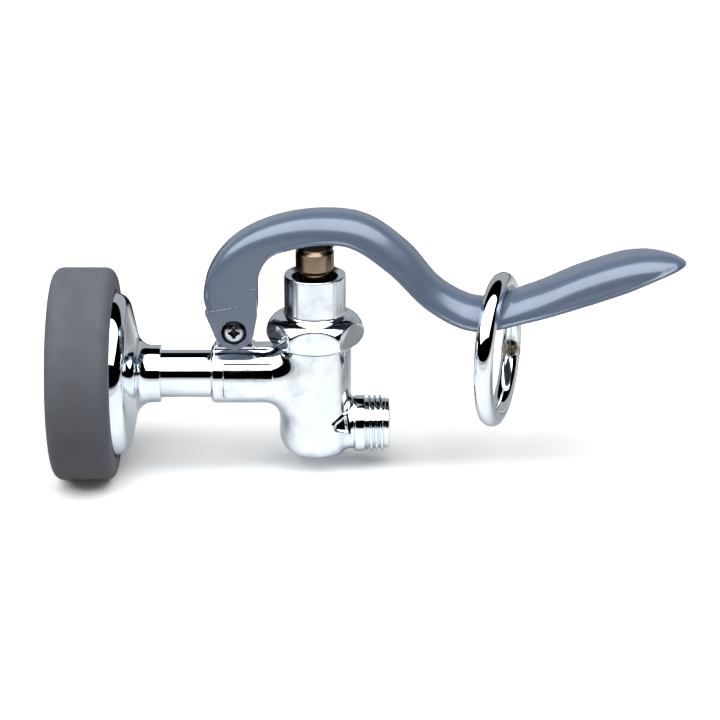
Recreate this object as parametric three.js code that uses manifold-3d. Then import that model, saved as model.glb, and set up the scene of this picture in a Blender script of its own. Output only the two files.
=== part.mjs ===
// Squeeze spray valve of a pre-rinse faucet, with its spray head, lever and hold-down ring.
// Sizes are in millimetres. X runs from the spray face to the lever's tip, Z is up, and Y = 0 is
// the plane of symmetry. The barrel's axis is X = 0 and the spray axis is Z = 0 until the last
// lines, which move the origin to the middle of the hose inlet's end face.
import * as THREE from 'three';
import { mergeVertices } from 'three/addons/utils/BufferGeometryUtils.js';
import Module from 'manifold-3d';

const wasm = await Module();
wasm.setup();

// Clearances
const fitGap = 0.15; // all round a screwed or pushed fit
const seatGap = 0.3; // between two faces that rest on each other
const earGap = 0.3; // each side of the pivot lug
const overcut = 1; // how far a cut runs past the face it opens

// Facets round a turned piece
const wideFacets = 40;
const fineFacets = 32;
const innerFacets = 18; // pieces inside the valve
const smallFacets = 14;

// Valve body: barrel
const barrelRadius = 12.1;
const barrelBottom = -28.4;
const barrelCorner = 8;
const barrelWall = 2.3;
const floorWall = 2.5;
const seamHeight = 11.6; // underside of the bonnet
const ledgeWidth = 1.6; // step that the valve seat stands on
const floorCorner = 3;

// Valve body: outlet arm
const armRadius = 9.75;
const armReach = 34.8;
const armCorner = 1.5;
const armPassage = 5.5;
const socketDepth = 10.5;
const blendRadius = 5; // fillet between arm and barrel
const blendSink = 1.5; // its hidden back, inside both
const padLength = 16.4;
const padHeight = 11.6;
const padMiddleX = -22.2;
const padMiddleZ = 0.45;
const padProud = 0.5; // of the arm's round side
const padCorner = 1;

// Valve body: hose inlet, the root cylinder of a 3/4-14 hose thread
const inletHeight = -17.8;
const inletReach = 24.8;
const inletRoot = 8.35;
const inletBore = 6.4;
const collarRadius = 9.4;
const collarEnd = 16.6;
const rootRadius = 10.4; // where the inlet swells into the barrel's foot
const rootEnd = 7.5;
const neckRadius = 8.2;
const neckEnd = 11.4;
const collarStart = 13.6;
const inletChamfer = 0.7;

// Pivot of the lever
const pivotX = -26.7;
const pivotZ = 17.4;
const lugThickness = 6.4;
const lugRadius = 5.2;
const lugFlare = 1.5; // foot of the lug, past its sides
const shelfHeight = 10.5;
const shelfInset = 1; // from the arm's end and the barrel's side
const screwRadius = 2;
const screwHeadRadius = 3.85;
const screwHeadHeight = 2;
const crossLength = 4.4;
const crossWidth = 1;
const crossDepth = 0.8;
const nutFlats = 7;
const nutHeight = 3.2;
const nutPocket = 2.4;

// Outlet tube, 5/8 inch
const tubeRadius = 7.94;
const tubeWall = 1.2;

// Spray head, measured along the spray direction from the barrel's axis
const neckFace = 51.5;
const bellNeck = 9.6;
const bellNeckLength = 2.7;
const neckFillet = 5.4;
const bellWall = 2;
const shoulderSlope = 14; // degrees from square to the spray axis
const shoulderCorner = 5.5;
const bellSocketDepth = 9;
const flangeHeight = 2.55; // over the bell's side
const flangeWidth = 3.9;
const rimPlane = 82.5; // front of the bell's rim and of the spray face
const faceThickness = 1.5;
const gasketThickness = 0.8;
const gasketWidth = 1.7;
const hubRadius = 4.5;
const hubLength = 14;
const webThickness = 2.6;
const sprayHoleRadius = 0.9;
const sprayRings = [[0.295, 6], [0.517, 12], [0.738, 18]]; // share of the face's radius, holes
const faceScrewRadius = 1.75;
const faceScrewHead = 3.6;
const faceScrewHeadHeight = 1.8;
const faceScrewSlot = 1;

// Bumper ring
const bumperRadius = 35.6;
const bumperDepth = 8.35; // from the bell's side out to the bumper's
const bumperBack = 66.6;
const bumperFront = 87.3;
const bumperCorner = 3.5;
const boreGap = 0.75; // round the bell's side
const lipOverlap = 1.25; // over the spray face
const lipCorner = 1.5;

// Bonnet
const hexFlats = 28.5;
const bulgeRadius = 16.4;
const bulgeArc = 6.4; // above the widest line
const underArc = 3.8; // below it
const bulgeHeight = 3.6; // of the widest line over the seam
const cupRadius = 10.2;
const cupHeight = 23.9; // over the seam
const cupBore = 7.6;
const cupEdge = 0.4;
const rimDish = 0.8; // fall of the cup's rim towards its bore
const spigotLength = 5.3;
const packingFloor = 0.4; // over the seam
const packingWasher = 1;
const packingNut = 4;
const packingSlot = 1.6;
const gasketDepth = 1.2;
const gasketRing = 1.1;

// Stem and plunger cap, 1/4 inch and 1/2 inch
const stemRadius = 3.175;
const guideGap = 0.3;
const ringSection = 2.4;
const capRadius = 6.35;
const capRise = 15.1; // over the cup
const capHeight = 17.6;
const capStep = 3.2; // height of the narrower foot
const capFoot = 5;
const capChamfer = 0.6;
const stemInCap = 8;

// Valve seat and washer
const seatTop = -6;
const seatThickness = 4;
const boreShare = 0.6; // of the way from the stem out to the washer's edge
const lipShare = 0.88;
const seatLip = 0.8;
const seatSlot = 2;
const retainerGap = 0.8; // between the retainer and the chamber
const washerThickness = 3;
const retainerFloor = 1.2;
const retainerRim = 2;
const retainerWall = 0.65;
const washerScrew = 1.5;
const washerScrewHead = 2.8;
const washerScrewHeadHeight = 1.7;
const washerScrewLength = 8;

// Return spring
const springWire = 1;
const springRadius = 4.3;
const springCoils = 3;

// Lever
const leverWall = 2.4;
const leverRim = 0.45; // how far the lip's bead stands out
const rimHeight = 1.1;
const earOuter = 8.3;
const earCorner = 6.7;
const noseX = -2.5;
const noseRadius = 3;
const stationCount = 40;
const outsideSteps = 10; // of the section, from one lip over the crest to the other
const insideSteps = 7;
const [coreStart, coreEnd, coreSteps] = [0.15, 0.45, 8]; // stretch that the nose is in

// Hold-down ring of 1/4 inch wire
const ringOuter = 25.9;
const wireRadius = 3.175;
const ringX = 61.8;
const ringYaw = -15; // degrees
const ringLift = 0.4; // the turned wire meets the crest beside its middle

// Places that follow from the sizes
const bodyTop = seamHeight - seatGap;
const chamberRadius = barrelRadius - barrelWall;
const lowerRadius = chamberRadius - ledgeWidth;
const seatBottom = seatTop - seatThickness;
const seatRingSection = ledgeWidth - 2 * fitGap;
const ledgeHeight = seatBottom - seatRingSection - 2 * fitGap;
const floorHeight = barrelBottom + floorWall;
const cupTop = seamHeight + cupHeight;
const capTop = cupTop + capRise;
const capBottom = capTop - capHeight;
const washerTop = seatBottom - seatLip - seatGap;
const stemFoot = washerTop + seatGap;
const retainerRadius = lowerRadius - retainerGap;
const washerRadius = retainerRadius - retainerWall - fitGap;
const seatBore = THREE.MathUtils.lerp(stemRadius, washerRadius, boreShare);
const seatLipRadius = THREE.MathUtils.lerp(stemRadius, washerRadius, lipShare);
const retainerTop = washerTop - washerThickness - seatGap;
const retainerBottom = retainerTop - retainerFloor;
const packingRadius = stemRadius + 2 * fitGap + ringSection;
const packingBase = seamHeight + packingFloor;
const packingShoulder = packingBase + 2 * ringSection + 3 * fitGap;
const nutBase = packingShoulder + packingWasher + 2 * seatGap;
const tubeEnd = armReach - socketDepth + seatGap;
const bellRadius = bumperRadius - bumperDepth;
const flangeRadius = bellRadius + flangeHeight;
const faceRadius = bellRadius - fitGap;
const bumperBore = bellRadius + boreGap;
const bumperLip = bellRadius - lipOverlap;
const seatPlane = rimPlane - faceThickness - gasketThickness - 2 * seatGap;
const lugHalf = lugThickness / 2;
const earInner = lugHalf + earGap;
const nutCorner = nutFlats / 2 / Math.cos(Math.PI / 6);

const degrees = Math.PI / 180;

// Points of an arc, with angles in degrees
function arc(x, y, radius, from, to, steps = 5) {
  const points = [];
  for (let i = 0; i <= steps; i += 1) {
    const angle = (from + (to - from) * i / steps) * degrees;
    points.push([x + radius * Math.cos(angle), y + radius * Math.sin(angle)]);
  }
  return points;
}

function vectors(points) {
  return points.map(([x, y]) => new THREE.Vector2(x, y));
}

// Signed volume under a list of triangles, positive where the faces point out
function volumeOf(corners, triangles) {
  let sum = 0;
  for (const [a, b, c] of triangles) {
    sum += corners[a].dot(corners[b].clone().cross(corners[c]));
  }
  return sum / 6;
}

// Closed geometry to a solid: shared corners are merged and flat triangles left out
function solid(geometry) {
  geometry.deleteAttribute('normal');
  geometry.deleteAttribute('uv');
  const merged = mergeVertices(geometry, 1e-5);
  const index = merged.index.array;
  const kept = [];
  for (let i = 0; i < index.length; i += 3) {
    const [a, b, c] = index.slice(i, i + 3);
    if (a !== b && b !== c && c !== a) {
      kept.push(a, b, c);
    }
  }
  const vertProperties = new Float32Array(merged.attributes.position.array);
  const triVerts = new Uint32Array(kept);
  return new wasm.Manifold(new wasm.Mesh({ numProp: 3, vertProperties, triVerts }));
}

function geometryOf(shape) {
  const mesh = shape.getMesh();
  const geometry = new THREE.BufferGeometry();
  geometry.setAttribute('position', new THREE.BufferAttribute(mesh.vertProperties, 3));
  geometry.setIndex(new THREE.BufferAttribute(mesh.triVerts, 1));
  geometry.computeVertexNormals();
  return geometry;
}

// Solid of revolution about Z from a profile of [radius, height] points
function turned(profile, facets = fineFacets) {
  const points = vectors(profile);
  const rising = THREE.ShapeUtils.area(points) > 0;
  const geometry = new THREE.LatheGeometry(rising ? points : points.reverse(), facets);
  geometry.rotateX(Math.PI / 2);
  return geometry;
}

// A ring's profile closes on itself
function turnedRing(profile, facets = fineFacets) {
  return turned([...profile, profile[0]], facets);
}

function rod(radius, from, to, facets = fineFacets) {
  return turned([[0, from], [radius, from], [radius, to], [0, to]], facets);
}

function sleeve(inner, outer, from, to, facets = fineFacets) {
  return turnedRing([[inner, from], [outer, from], [outer, to], [inner, to]], facets);
}

// Turned geometry laid along X: heights become distances towards +X, or towards the spray
function towardsInlet(geometry) {
  return geometry.rotateY(Math.PI / 2).translate(0, 0, inletHeight);
}

function towardsSpray(geometry) {
  return geometry.rotateY(-Math.PI / 2);
}

// Turned geometry laid along Y through the lever's pivot, heights towards -Y
function acrossPivot(geometry) {
  return geometry.rotateX(Math.PI / 2).translate(pivotX, 0, pivotZ);
}

// Hole for the pivot screw, out to that distance on both sides
function pivotHole(reach) {
  return acrossPivot(rod(screwRadius + fitGap, -reach, reach, smallFacets));
}

// Outline of [x, z] points as a plate of that thickness, centred on y
function plate(outline, thickness, y = 0) {
  const shape = new THREE.Shape(vectors(outline));
  const geometry = new THREE.ExtrudeGeometry(shape, { depth: thickness, bevelEnabled: false });
  return geometry.rotateX(Math.PI / 2).translate(0, y + thickness / 2, 0);
}

// Solid through a row of closed rings with equal counts of points. A joined row closes on itself.
function loft(rings, joined = false) {
  const corners = rings.flat();
  const count = rings[0].length;
  const triangles = [];
  const last = joined ? rings.length : rings.length - 1;
  for (let i = 0; i < last; i += 1) {
    const here = i * count;
    const there = (i + 1) % rings.length * count;
    for (let j = 0; j < count; j += 1) {
      const next = (j + 1) % count;
      triangles.push([here + j, here + next, there + next], [here + j, there + next, there + j]);
    }
  }
  if (!joined) {
    for (const [start, turn] of [[0, 1], [last * count, -1]]) {
      const middle = new THREE.Vector3();
      for (let j = 0; j < count; j += 1) {
        middle.addScaledVector(corners[start + j], 1 / count);
      }
      const tip = corners.push(middle) - 1;
      for (let j = 0; j < count; j += 1) {
        const pair = [start + j, start + (j + 1) % count];
        triangles.push(turn > 0 ? [tip, pair[1], pair[0]] : [tip, pair[0], pair[1]]);
      }
    }
  }
  const facing = volumeOf(corners, triangles) > 0;
  const index = triangles.flatMap(([a, b, c]) => (facing ? [a, b, c] : [a, c, b]));
  const geometry = new THREE.BufferGeometry().setFromPoints(corners);
  geometry.setIndex(index);
  return geometry;
}

// Concave fillet where the arm meets the barrel: a ball rolled round the joint, touching both
function armBlend() {
  const rings = [];
  for (let i = 0; i < fineFacets; i += 1) {
    const turn = 2 * Math.PI * i / fineFacets;
    const [side, rise] = [Math.sin(turn), Math.cos(turn)];
    const y = (armRadius + blendRadius) * side;
    const z = (armRadius + blendRadius) * rise;
    const x = -Math.sqrt((barrelRadius + blendRadius) ** 2 - y * y);
    const ball = new THREE.Vector3(x, y, z);
    const onArm = new THREE.Vector3(x, armRadius * side, armRadius * rise);
    const share = barrelRadius / (barrelRadius + blendRadius);
    const onBarrel = new THREE.Vector3(x * share, y * share, z);
    const ring = [];
    for (let k = 0; k <= 3; k += 1) {
      const point = onArm.clone().lerp(onBarrel, k / 3).sub(ball).setLength(blendRadius).add(ball);
      ring.push(point);
    }
    const inner = armRadius - blendSink;
    const depth = Math.sqrt((barrelRadius - blendSink) ** 2 - (inner * side) ** 2);
    ring.push(new THREE.Vector3(-depth, inner * side, inner * rise));
    rings.push(ring);
  }
  return loft(rings, true);
}

// Flat three-cornered facet cast where the inlet's neck leaves the barrel, with a pocket in it
function castFacet() {
  const top = new THREE.Vector3(10.6, -5.6, inletHeight + 8);
  const left = new THREE.Vector3(6, -10.7, inletHeight + 2.2);
  const right = new THREE.Vector3(12, -9, inletHeight - 0.4);
  const facet = new THREE.Triangle(top, left, right);
  const normal = facet.getNormal(new THREE.Vector3());
  const middle = facet.getMidpoint(new THREE.Vector3());
  const corners = [top, left.clone().lerp(top, 0.18), left.clone().lerp(right, 0.22), right];
  const ringAt = (scale, height) => {
    const lift = normal.clone().multiplyScalar(height).add(middle);
    return corners.map((corner) => corner.clone().sub(middle).multiplyScalar(scale).add(lift));
  };
  const block = loft([ringAt(0.8, -5), ringAt(1.12, -0.4), ringAt(1, 0.4)]);
  const pocket = loft([ringAt(0.45, -1.4), ringAt(0.68, 0.8)]);
  return { block, pocket };
}

function pivotLug() {
  const foot = armRadius / 2;
  const outline = [
    [shelfInset - armReach, foot],
    [shelfInset - armReach, shelfHeight],
    [pivotX - lugRadius - lugFlare, shelfHeight],
    ...arc(pivotX, pivotZ, lugRadius, 190, -10, 10),
    [pivotX + lugRadius + lugFlare, shelfHeight],
    [shelfInset - barrelRadius, shelfHeight],
    [shelfInset - barrelRadius, foot],
  ];
  return plate(outline, lugThickness);
}

// Bare cast pad on the near side of the arm, following its round
function raisedPad() {
  const [left, right] = [padMiddleX - padLength / 2 + padCorner, padMiddleX + padLength / 2 - padCorner];
  const [low, high] = [padMiddleZ - padHeight / 2 + padCorner, padMiddleZ + padHeight / 2 - padCorner];
  const outline = [
    ...arc(right, high, padCorner, 0, 90, 3),
    ...arc(left, high, padCorner, 90, 180, 3),
    ...arc(left, low, padCorner, 180, 270, 3),
    ...arc(right, low, padCorner, 270, 360, 3),
  ];
  const reach = armRadius + padProud;
  return solid(plate(outline, reach, -reach)).intersect(solid(towardsSpray(rod(reach, 0, armReach))));
}

function valveBody() {
  const barrel = turned([
    [0, barrelBottom],
    ...arc(barrelRadius - barrelCorner, barrelBottom + barrelCorner, barrelCorner, -90, 0, 5),
    [barrelRadius, bodyTop],
    [0, bodyTop],
  ]);
  const arm = turned([
    [0, 0],
    [armRadius, 0],
    ...arc(armRadius - armCorner, armReach - armCorner, armCorner, 0, 90, 3),
    [0, armReach],
  ]);
  const inlet = turned([
    [0, rootEnd / 3],
    [rootRadius, rootEnd / 3],
    [rootRadius, rootEnd],
    [neckRadius, neckEnd],
    [collarRadius, collarStart],
    [collarRadius, collarEnd],
    [inletRoot, collarEnd],
    [inletRoot, inletReach - inletChamfer],
    [inletRoot - inletChamfer, inletReach],
    [0, inletReach],
  ]);
  const lower = turned([
    [0, floorHeight],
    ...arc(lowerRadius - floorCorner, floorHeight + floorCorner, floorCorner, -90, 0, 3),
    [lowerRadius, ledgeHeight + overcut],
    [0, ledgeHeight + overcut],
  ], innerFacets);
  const { block, pocket } = castFacet();
  const outside = solid(barrel)
    .add(solid(towardsSpray(arm)))
    .add(solid(armBlend()).intersect(solid(rod(armReach, -armReach, shelfHeight))))
    .add(solid(towardsInlet(inlet)))
    .add(solid(block))
    .add(solid(pivotLug()))
    .add(raisedPad());
  const body = outside
    .subtract(solid(pocket))
    .subtract(solid(lower))
    .subtract(solid(rod(chamberRadius, ledgeHeight, bodyTop + overcut, innerFacets)))
    .subtract(solid(rod(chamberRadius + gasketRing, bodyTop - gasketDepth, bodyTop + overcut, innerFacets)))
    .subtract(solid(towardsSpray(rod(armPassage, chamberRadius / 2, armReach, smallFacets))))
    .subtract(solid(towardsSpray(rod(tubeRadius + fitGap, armReach - socketDepth, armReach + overcut))))
    .subtract(solid(towardsInlet(rod(inletBore, lowerRadius / 2, inletReach + overcut))))
    .subtract(solid(pivotHole(lugThickness)));
  return geometryOf(body);
}

function outletTube() {
  const far = neckFace + bellSocketDepth - seatGap;
  return towardsSpray(sleeve(tubeRadius - tubeWall, tubeRadius, tubeEnd, far));
}

// Flared shell, its hub and three webs, with the front towards the spray
function sprayBell() {
  const slope = shoulderSlope * degrees;
  const filletFrom = neckFace + bellNeckLength;
  const filletEnd = [
    bellNeck + neckFillet * (1 - Math.sin(slope)),
    filletFrom + neckFillet * Math.cos(slope),
  ];
  const cornerMiddle = bellRadius - shoulderCorner;
  const cornerStart = cornerMiddle + shoulderCorner * Math.sin(slope);
  const shoulderEnd = filletEnd[1] + (cornerStart - filletEnd[0]) * Math.tan(slope);
  const cornerPlane = shoulderEnd + shoulderCorner * Math.cos(slope);
  const inside = bellRadius - bellWall;
  const socketEnd = neckFace + bellSocketDepth;
  const passage = tubeRadius - tubeWall;
  const backPlane = cornerPlane - shoulderCorner + bellWall;
  const flangeBack = rimPlane - flangeWidth;
  const shell = turnedRing([
    [tubeRadius + fitGap, neckFace],
    [bellNeck, neckFace],
    ...arc(bellNeck + neckFillet, filletFrom, neckFillet, 180, 90 + shoulderSlope, 3),
    ...arc(cornerMiddle, cornerPlane, shoulderCorner, shoulderSlope - 90, 0, 3),
    [bellRadius, flangeBack],
    [flangeRadius, flangeBack],
    [flangeRadius, rimPlane],
    [faceRadius + fitGap, rimPlane],
    [faceRadius + fitGap, seatPlane],
    [inside, seatPlane],
    ...arc(inside - shoulderCorner, backPlane + shoulderCorner, shoulderCorner, 0, -60, 1),
    [neckRadius + bellWall, socketEnd + bellWall],
    [passage, socketEnd + bellWall],
    [passage, socketEnd],
    [tubeRadius + fitGap, socketEnd],
  ], wideFacets);
  const hubFront = rimPlane - faceThickness - seatGap;
  const hub = rod(hubRadius, hubFront - hubLength, hubFront, smallFacets);
  const screwHole = rod(faceScrewRadius + fitGap, hubFront - hubLength / 2, hubFront + overcut, smallFacets);
  let bell = solid(towardsSpray(shell)).add(solid(towardsSpray(hub)));
  for (let i = 0; i < 3; i += 1) {
    const reach = inside + bellWall / 2;
    const web = new THREE.BoxGeometry(reach, webThickness, hubLength / 2);
    web.translate(reach / 2, 0, hubFront - hubLength * 0.7).rotateZ(i * 120 * degrees);
    bell = bell.add(solid(towardsSpray(web)));
  }
  return geometryOf(bell.subtract(solid(towardsSpray(screwHole))));
}

function sprayFaceGasket() {
  const from = seatPlane + seatGap;
  const to = from + gasketThickness;
  return towardsSpray(sleeve(faceRadius - gasketWidth, faceRadius, from, to, wideFacets));
}

// Disc with rings of jet holes and the screw's hole in the middle
function sprayFace() {
  const circle = (x, y, radius, count) => vectors(arc(x, y, radius, 0, 360, count).slice(1));
  const shape = new THREE.Shape(circle(0, 0, faceRadius, wideFacets));
  shape.holes.push(new THREE.Path(circle(0, 0, faceScrewRadius + fitGap, smallFacets)));
  for (const [share, count] of sprayRings) {
    const radius = share * faceRadius;
    for (let i = 0; i < count; i += 1) {
      const angle = 2 * Math.PI * (i + 0.2) / count;
      const [x, y] = [radius * Math.cos(angle), radius * Math.sin(angle)];
      shape.holes.push(new THREE.Path(circle(x, y, sprayHoleRadius, 6)));
    }
  }
  const disc = new THREE.ExtrudeGeometry(shape, { depth: faceThickness, bevelEnabled: false });
  return towardsSpray(disc.translate(0, 0, rimPlane - faceThickness));
}

function sprayFaceScrew() {
  const head = rimPlane + seatGap;
  const foot = rimPlane - faceThickness - hubLength / 2;
  const body = turned([
    [0, foot],
    [faceScrewRadius, foot],
    [faceScrewRadius, head],
    [faceScrewHead, head],
    [faceScrewHead, head + faceScrewHeadHeight / 2],
    [faceScrewHead * 0.7, head + faceScrewHeadHeight],
    [0, head + faceScrewHeadHeight],
  ], smallFacets);
  const slot = new THREE.BoxGeometry(faceScrewHead * 3, faceScrewSlot, faceScrewHeadHeight);
  slot.translate(0, 0, head + faceScrewHeadHeight * 1.2);
  return geometryOf(solid(towardsSpray(body)).subtract(solid(towardsSpray(slot))));
}

// Rubber ring that grips the bell's flange in a groove
function bumperRing() {
  const groove = flangeRadius + seatGap;
  const grooveBack = rimPlane - flangeWidth - seatGap;
  const grooveFront = rimPlane + seatGap;
  const middle = bumperRadius - bumperCorner;
  return towardsSpray(turnedRing([
    [bumperBore, bumperBack],
    ...arc(middle, bumperBack + bumperCorner, bumperCorner, -90, 0, 3),
    ...arc(middle, bumperFront - bumperCorner, bumperCorner, 0, 90, 3),
    ...arc(bumperLip + lipCorner, bumperFront - lipCorner, lipCorner, 90, 180, 1),
    [bumperLip, grooveFront],
    [groove, grooveFront],
    [groove, grooveBack],
    [bumperBore, grooveBack],
  ], wideFacets));
}

// Hexagon with ball-rounded corners, cup above and threaded spigot below
function bonnet() {
  const bulgeMiddle = bulgeRadius - bulgeArc;
  const widest = seamHeight + bulgeHeight;
  const underMiddle = bulgeRadius - underArc;
  const start = -Math.asin(bulgeHeight / underArc) / degrees;
  const end = Math.acos((cupRadius - bulgeMiddle) / bulgeArc) / degrees;
  const bulge = turned([
    [0, seamHeight],
    ...arc(underMiddle, widest, underArc, start, 0, 3),
    ...arc(bulgeMiddle, widest, bulgeArc, 0, end, 4).slice(1),
    [0, widest + bulgeArc],
  ]);
  const corner = hexFlats / 2 / Math.cos(30 * degrees);
  const hexagon = rod(corner, seamHeight - overcut, widest + bulgeArc + overcut, 6).rotateZ(Math.PI / 2);
  const cup = turned([
    [0, widest],
    [cupRadius, widest],
    [cupRadius, cupTop - cupEdge],
    [cupRadius - cupEdge, cupTop],
    [0, cupTop],
  ]);
  const bore = turned([
    [0, packingShoulder],
    [cupBore, packingShoulder],
    [cupBore, cupTop - rimDish],
    [cupRadius - cupEdge, cupTop],
    [cupRadius - cupEdge, cupTop + overcut],
    [0, cupTop + overcut],
  ]);
  const body = solid(bulge)
    .intersect(solid(hexagon))
    .add(solid(cup))
    .add(solid(rod(chamberRadius - fitGap, seamHeight - spigotLength, widest, innerFacets)))
    .subtract(solid(bore))
    .subtract(solid(rod(packingRadius, packingBase, packingShoulder + overcut, innerFacets)))
    .subtract(solid(rod(stemRadius + guideGap, seamHeight - spigotLength - overcut, cupTop, smallFacets)));
  return geometryOf(body);
}

function bonnetGasket() {
  const inner = chamberRadius;
  const base = bodyTop - gasketDepth + seatGap;
  return sleeve(inner, inner + gasketRing - fitGap, base, bodyTop, innerFacets);
}

function packingNutShape() {
  const outer = cupBore - fitGap;
  const nut = sleeve(stemRadius + guideGap, outer, nutBase, nutBase + packingNut, innerFacets);
  const slot = new THREE.BoxGeometry(outer * 3, packingSlot, 2 * packingSlot);
  slot.translate(0, 0, nutBase + packingNut);
  return geometryOf(solid(nut).subtract(solid(slot)));
}

function packingWasherShape() {
  const from = packingShoulder + seatGap;
  return sleeve(stemRadius + guideGap, cupBore - fitGap, from, from + packingWasher, innerFacets);
}

// Round rubber ring about the barrel's axis
function sealRing(radius, section, height, facets) {
  return turnedRing(arc(radius, height, section / 2, 0, 360, 6).slice(1), facets);
}

function stemRing(place) {
  const height = packingBase + fitGap + ringSection / 2 + place * (ringSection + fitGap);
  return sealRing(stemRadius + fitGap + ringSection / 2, ringSection, height, smallFacets);
}

function plungerCap() {
  const body = turned([
    [0, capBottom],
    [capFoot, capBottom],
    [capFoot, capBottom + capStep],
    [capRadius, capBottom + capStep + capRadius - capFoot],
    [capRadius, capTop - capChamfer],
    [capRadius - 2 * capChamfer, capTop],
    [0, capTop],
  ], innerFacets);
  const thread = rod(stemRadius + fitGap, capBottom - overcut, capBottom + stemInCap + seatGap, smallFacets);
  return geometryOf(solid(body).subtract(solid(thread)));
}

function valveStem() {
  const hole = stemFoot + washerScrewLength - washerThickness;
  return turned([
    [0, hole],
    [washerScrew + fitGap, hole],
    [washerScrew + fitGap, stemFoot],
    [stemRadius, stemFoot],
    [stemRadius, capBottom + stemInCap],
    [0, capBottom + stemInCap],
  ], smallFacets);
}

// Screwed-in seat with a sealing lip below and two wrench slots above
function valveSeat() {
  const ring = turnedRing([
    [seatBore, seatBottom - seatLip],
    [seatLipRadius, seatBottom - seatLip],
    [seatLipRadius, seatBottom],
    [chamberRadius - fitGap, seatBottom],
    [chamberRadius - fitGap, seatTop],
    [seatBore, seatTop],
  ], innerFacets);
  const slot = new THREE.BoxGeometry(chamberRadius * 3, seatSlot, 1.4 * seatSlot);
  slot.translate(0, 0, seatTop);
  return geometryOf(solid(ring).subtract(solid(slot)));
}

function seatRing() {
  const height = seatBottom - fitGap - seatRingSection / 2;
  return sealRing((lowerRadius + chamberRadius) / 2, seatRingSection, height, innerFacets);
}

function seatWasher() {
  return sleeve(washerScrew + fitGap, washerRadius, washerTop - washerThickness, washerTop, innerFacets);
}

function washerRetainer() {
  const inside = washerRadius + fitGap;
  return turnedRing([
    [washerScrew + fitGap, retainerBottom],
    [retainerRadius, retainerBottom],
    [retainerRadius, retainerTop + retainerRim],
    [inside, retainerTop + retainerRim],
    [inside, retainerTop],
    [washerScrew + fitGap, retainerTop],
  ], innerFacets);
}

function washerScrewShape() {
  const head = retainerBottom - seatGap;
  const end = stemFoot + washerScrewLength - washerThickness - seatGap;
  return turned([
    [0, head - washerScrewHeadHeight],
    [washerScrewHead, head - washerScrewHeadHeight],
    [washerScrewHead, head],
    [washerScrew, head],
    [washerScrew, end],
    [0, end],
  ], smallFacets);
}

// Wound wire between the body's floor and the retainer, as one unbroken tube
function returnSpring() {
  const steps = 8 * springCoils;
  const low = floorHeight + seatGap + springWire / 2;
  const high = retainerBottom - seatGap - springWire / 2;
  const pitch = (high - low) / springCoils;
  const rings = [];
  for (let i = 0; i <= steps; i += 1) {
    const turn = 2 * Math.PI * springCoils * i / steps;
    const out = new THREE.Vector3(Math.cos(turn), Math.sin(turn), 0);
    const up = new THREE.Vector3(0, 0, 1);
    const middle = out.clone().multiplyScalar(springRadius).setZ(low + (high - low) * i / steps);
    rings.push(arc(0, 0, springWire / 2, 0, 300, 5).map(
      ([x, z]) => middle.clone().addScaledVector(out, x).addScaledVector(up, z),
    ));
  }
  console.log(`least gap between the return spring's coils: ${(pitch - springWire).toFixed(2)} mm`);
  return loft(rings);
}

// Lines of the lever in the plane of symmetry: crest [x, z], lip [x, z], half width, squareness of
// the section. The first rows are measured from the pivot, the others from the plunger cap's top.
const earStations = [
  [-9.3, 7, 7.6, 4.6, 8, 5],
  [-10.1, 11.4, 7.6, 10.6, 8, 4.6],
  [-7.8, 20.6, 8.7, 20.6, 8, 4],
];
const handleStations = [
  [-26.9, -2.8, -14.5, -6.9, 8.4, 3.3],
  [-14.9, 3.8, -6.9, -3.9, 9, 2.8],
  [1.2, 6.9, 3.2, -2.2, 9.6, 2.5],
  [17.1, 5, 11.9, -3.2, 10, 2.4],
  [31.4, -5.3, 23.8, -11.3, 10.2, 2.4],
  [42.7, -18, 37.5, -24.8, 10.3, 2.2],
  [55.6, -23.7, 52.1, -31.8, 10.4, 2],
  [72, -19.4, 70.3, -28.6, 10.7, 2],
  [88, -12.9, 88, -23.1, 11.2, 2.2],
  [101.5, -8.6, 101.5, -18.4, 11.3, 2.2],
  [109.3, -7.6, 109.3, -15.4, 10.4, 2.2],
  [115, -8, 115, -13.5, 8.6, 2.1],
  [118.9, -9, 118.9, -12.5, 6.2, 2],
  [121.4, -10.3, 121.4, -11.9, 3.4, 2],
  [122.3, -11, 122.3, -11.6, 1.6, 2],
];
const leverStations = [
  ...earStations.map(([a, b, c, d, half, square]) => (
    [a + pivotX, b + pivotZ, c + pivotX, d + pivotZ, half, square]
  )),
  ...handleStations.map(([a, b, c, d, half, square]) => [a, b + capTop, c, d + capTop, half, square]),
];
const curveThrough = (row) => new THREE.CatmullRomCurve3(leverStations.map(row));
const crestLine = curveThrough(([x, z]) => new THREE.Vector3(x, 0, z));
const lipLine = curveThrough(([, , x, z]) => new THREE.Vector3(x, 0, z));
const widthLine = curveThrough(([, , , , half, square]) => new THREE.Vector3(half, square, 0));

// Domed section of the lever at a share t of its length, set in by a wall
function leverSection(t, wall, reach, steps) {
  const crest = crestLine.getPoint(t);
  const lip = lipLine.getPoint(t);
  const { x: half, y: square } = widthLine.getPoint(t);
  const rise = crest.clone().sub(lip);
  const depth = rise.length() - wall;
  rise.normalize();
  const at = (y, height) => lip.clone().addScaledVector(rise, height).setY(y);
  const points = [];
  const outer = half - wall;
  const bead = wall > 0 ? 0 : leverRim * THREE.MathUtils.smoothstep(t, 0.12, 0.2) * Math.min(1, half / 8);
  const beadHeight = Math.min(rimHeight, depth / 4);
  points.push(at(outer + bead, -reach), at(outer + bead, beadHeight));
  for (let i = 1; i < steps; i += 1) {
    const angle = Math.PI * i / steps;
    const side = Math.sign(Math.cos(angle)) * Math.abs(Math.cos(angle)) ** (2 / square);
    const height = Math.sin(angle) ** (2 / square);
    points.push(at(outer * side, depth * height));
  }
  points.push(at(-outer - bead, beadHeight), at(-outer - bead, -reach));
  return points;
}

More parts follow.
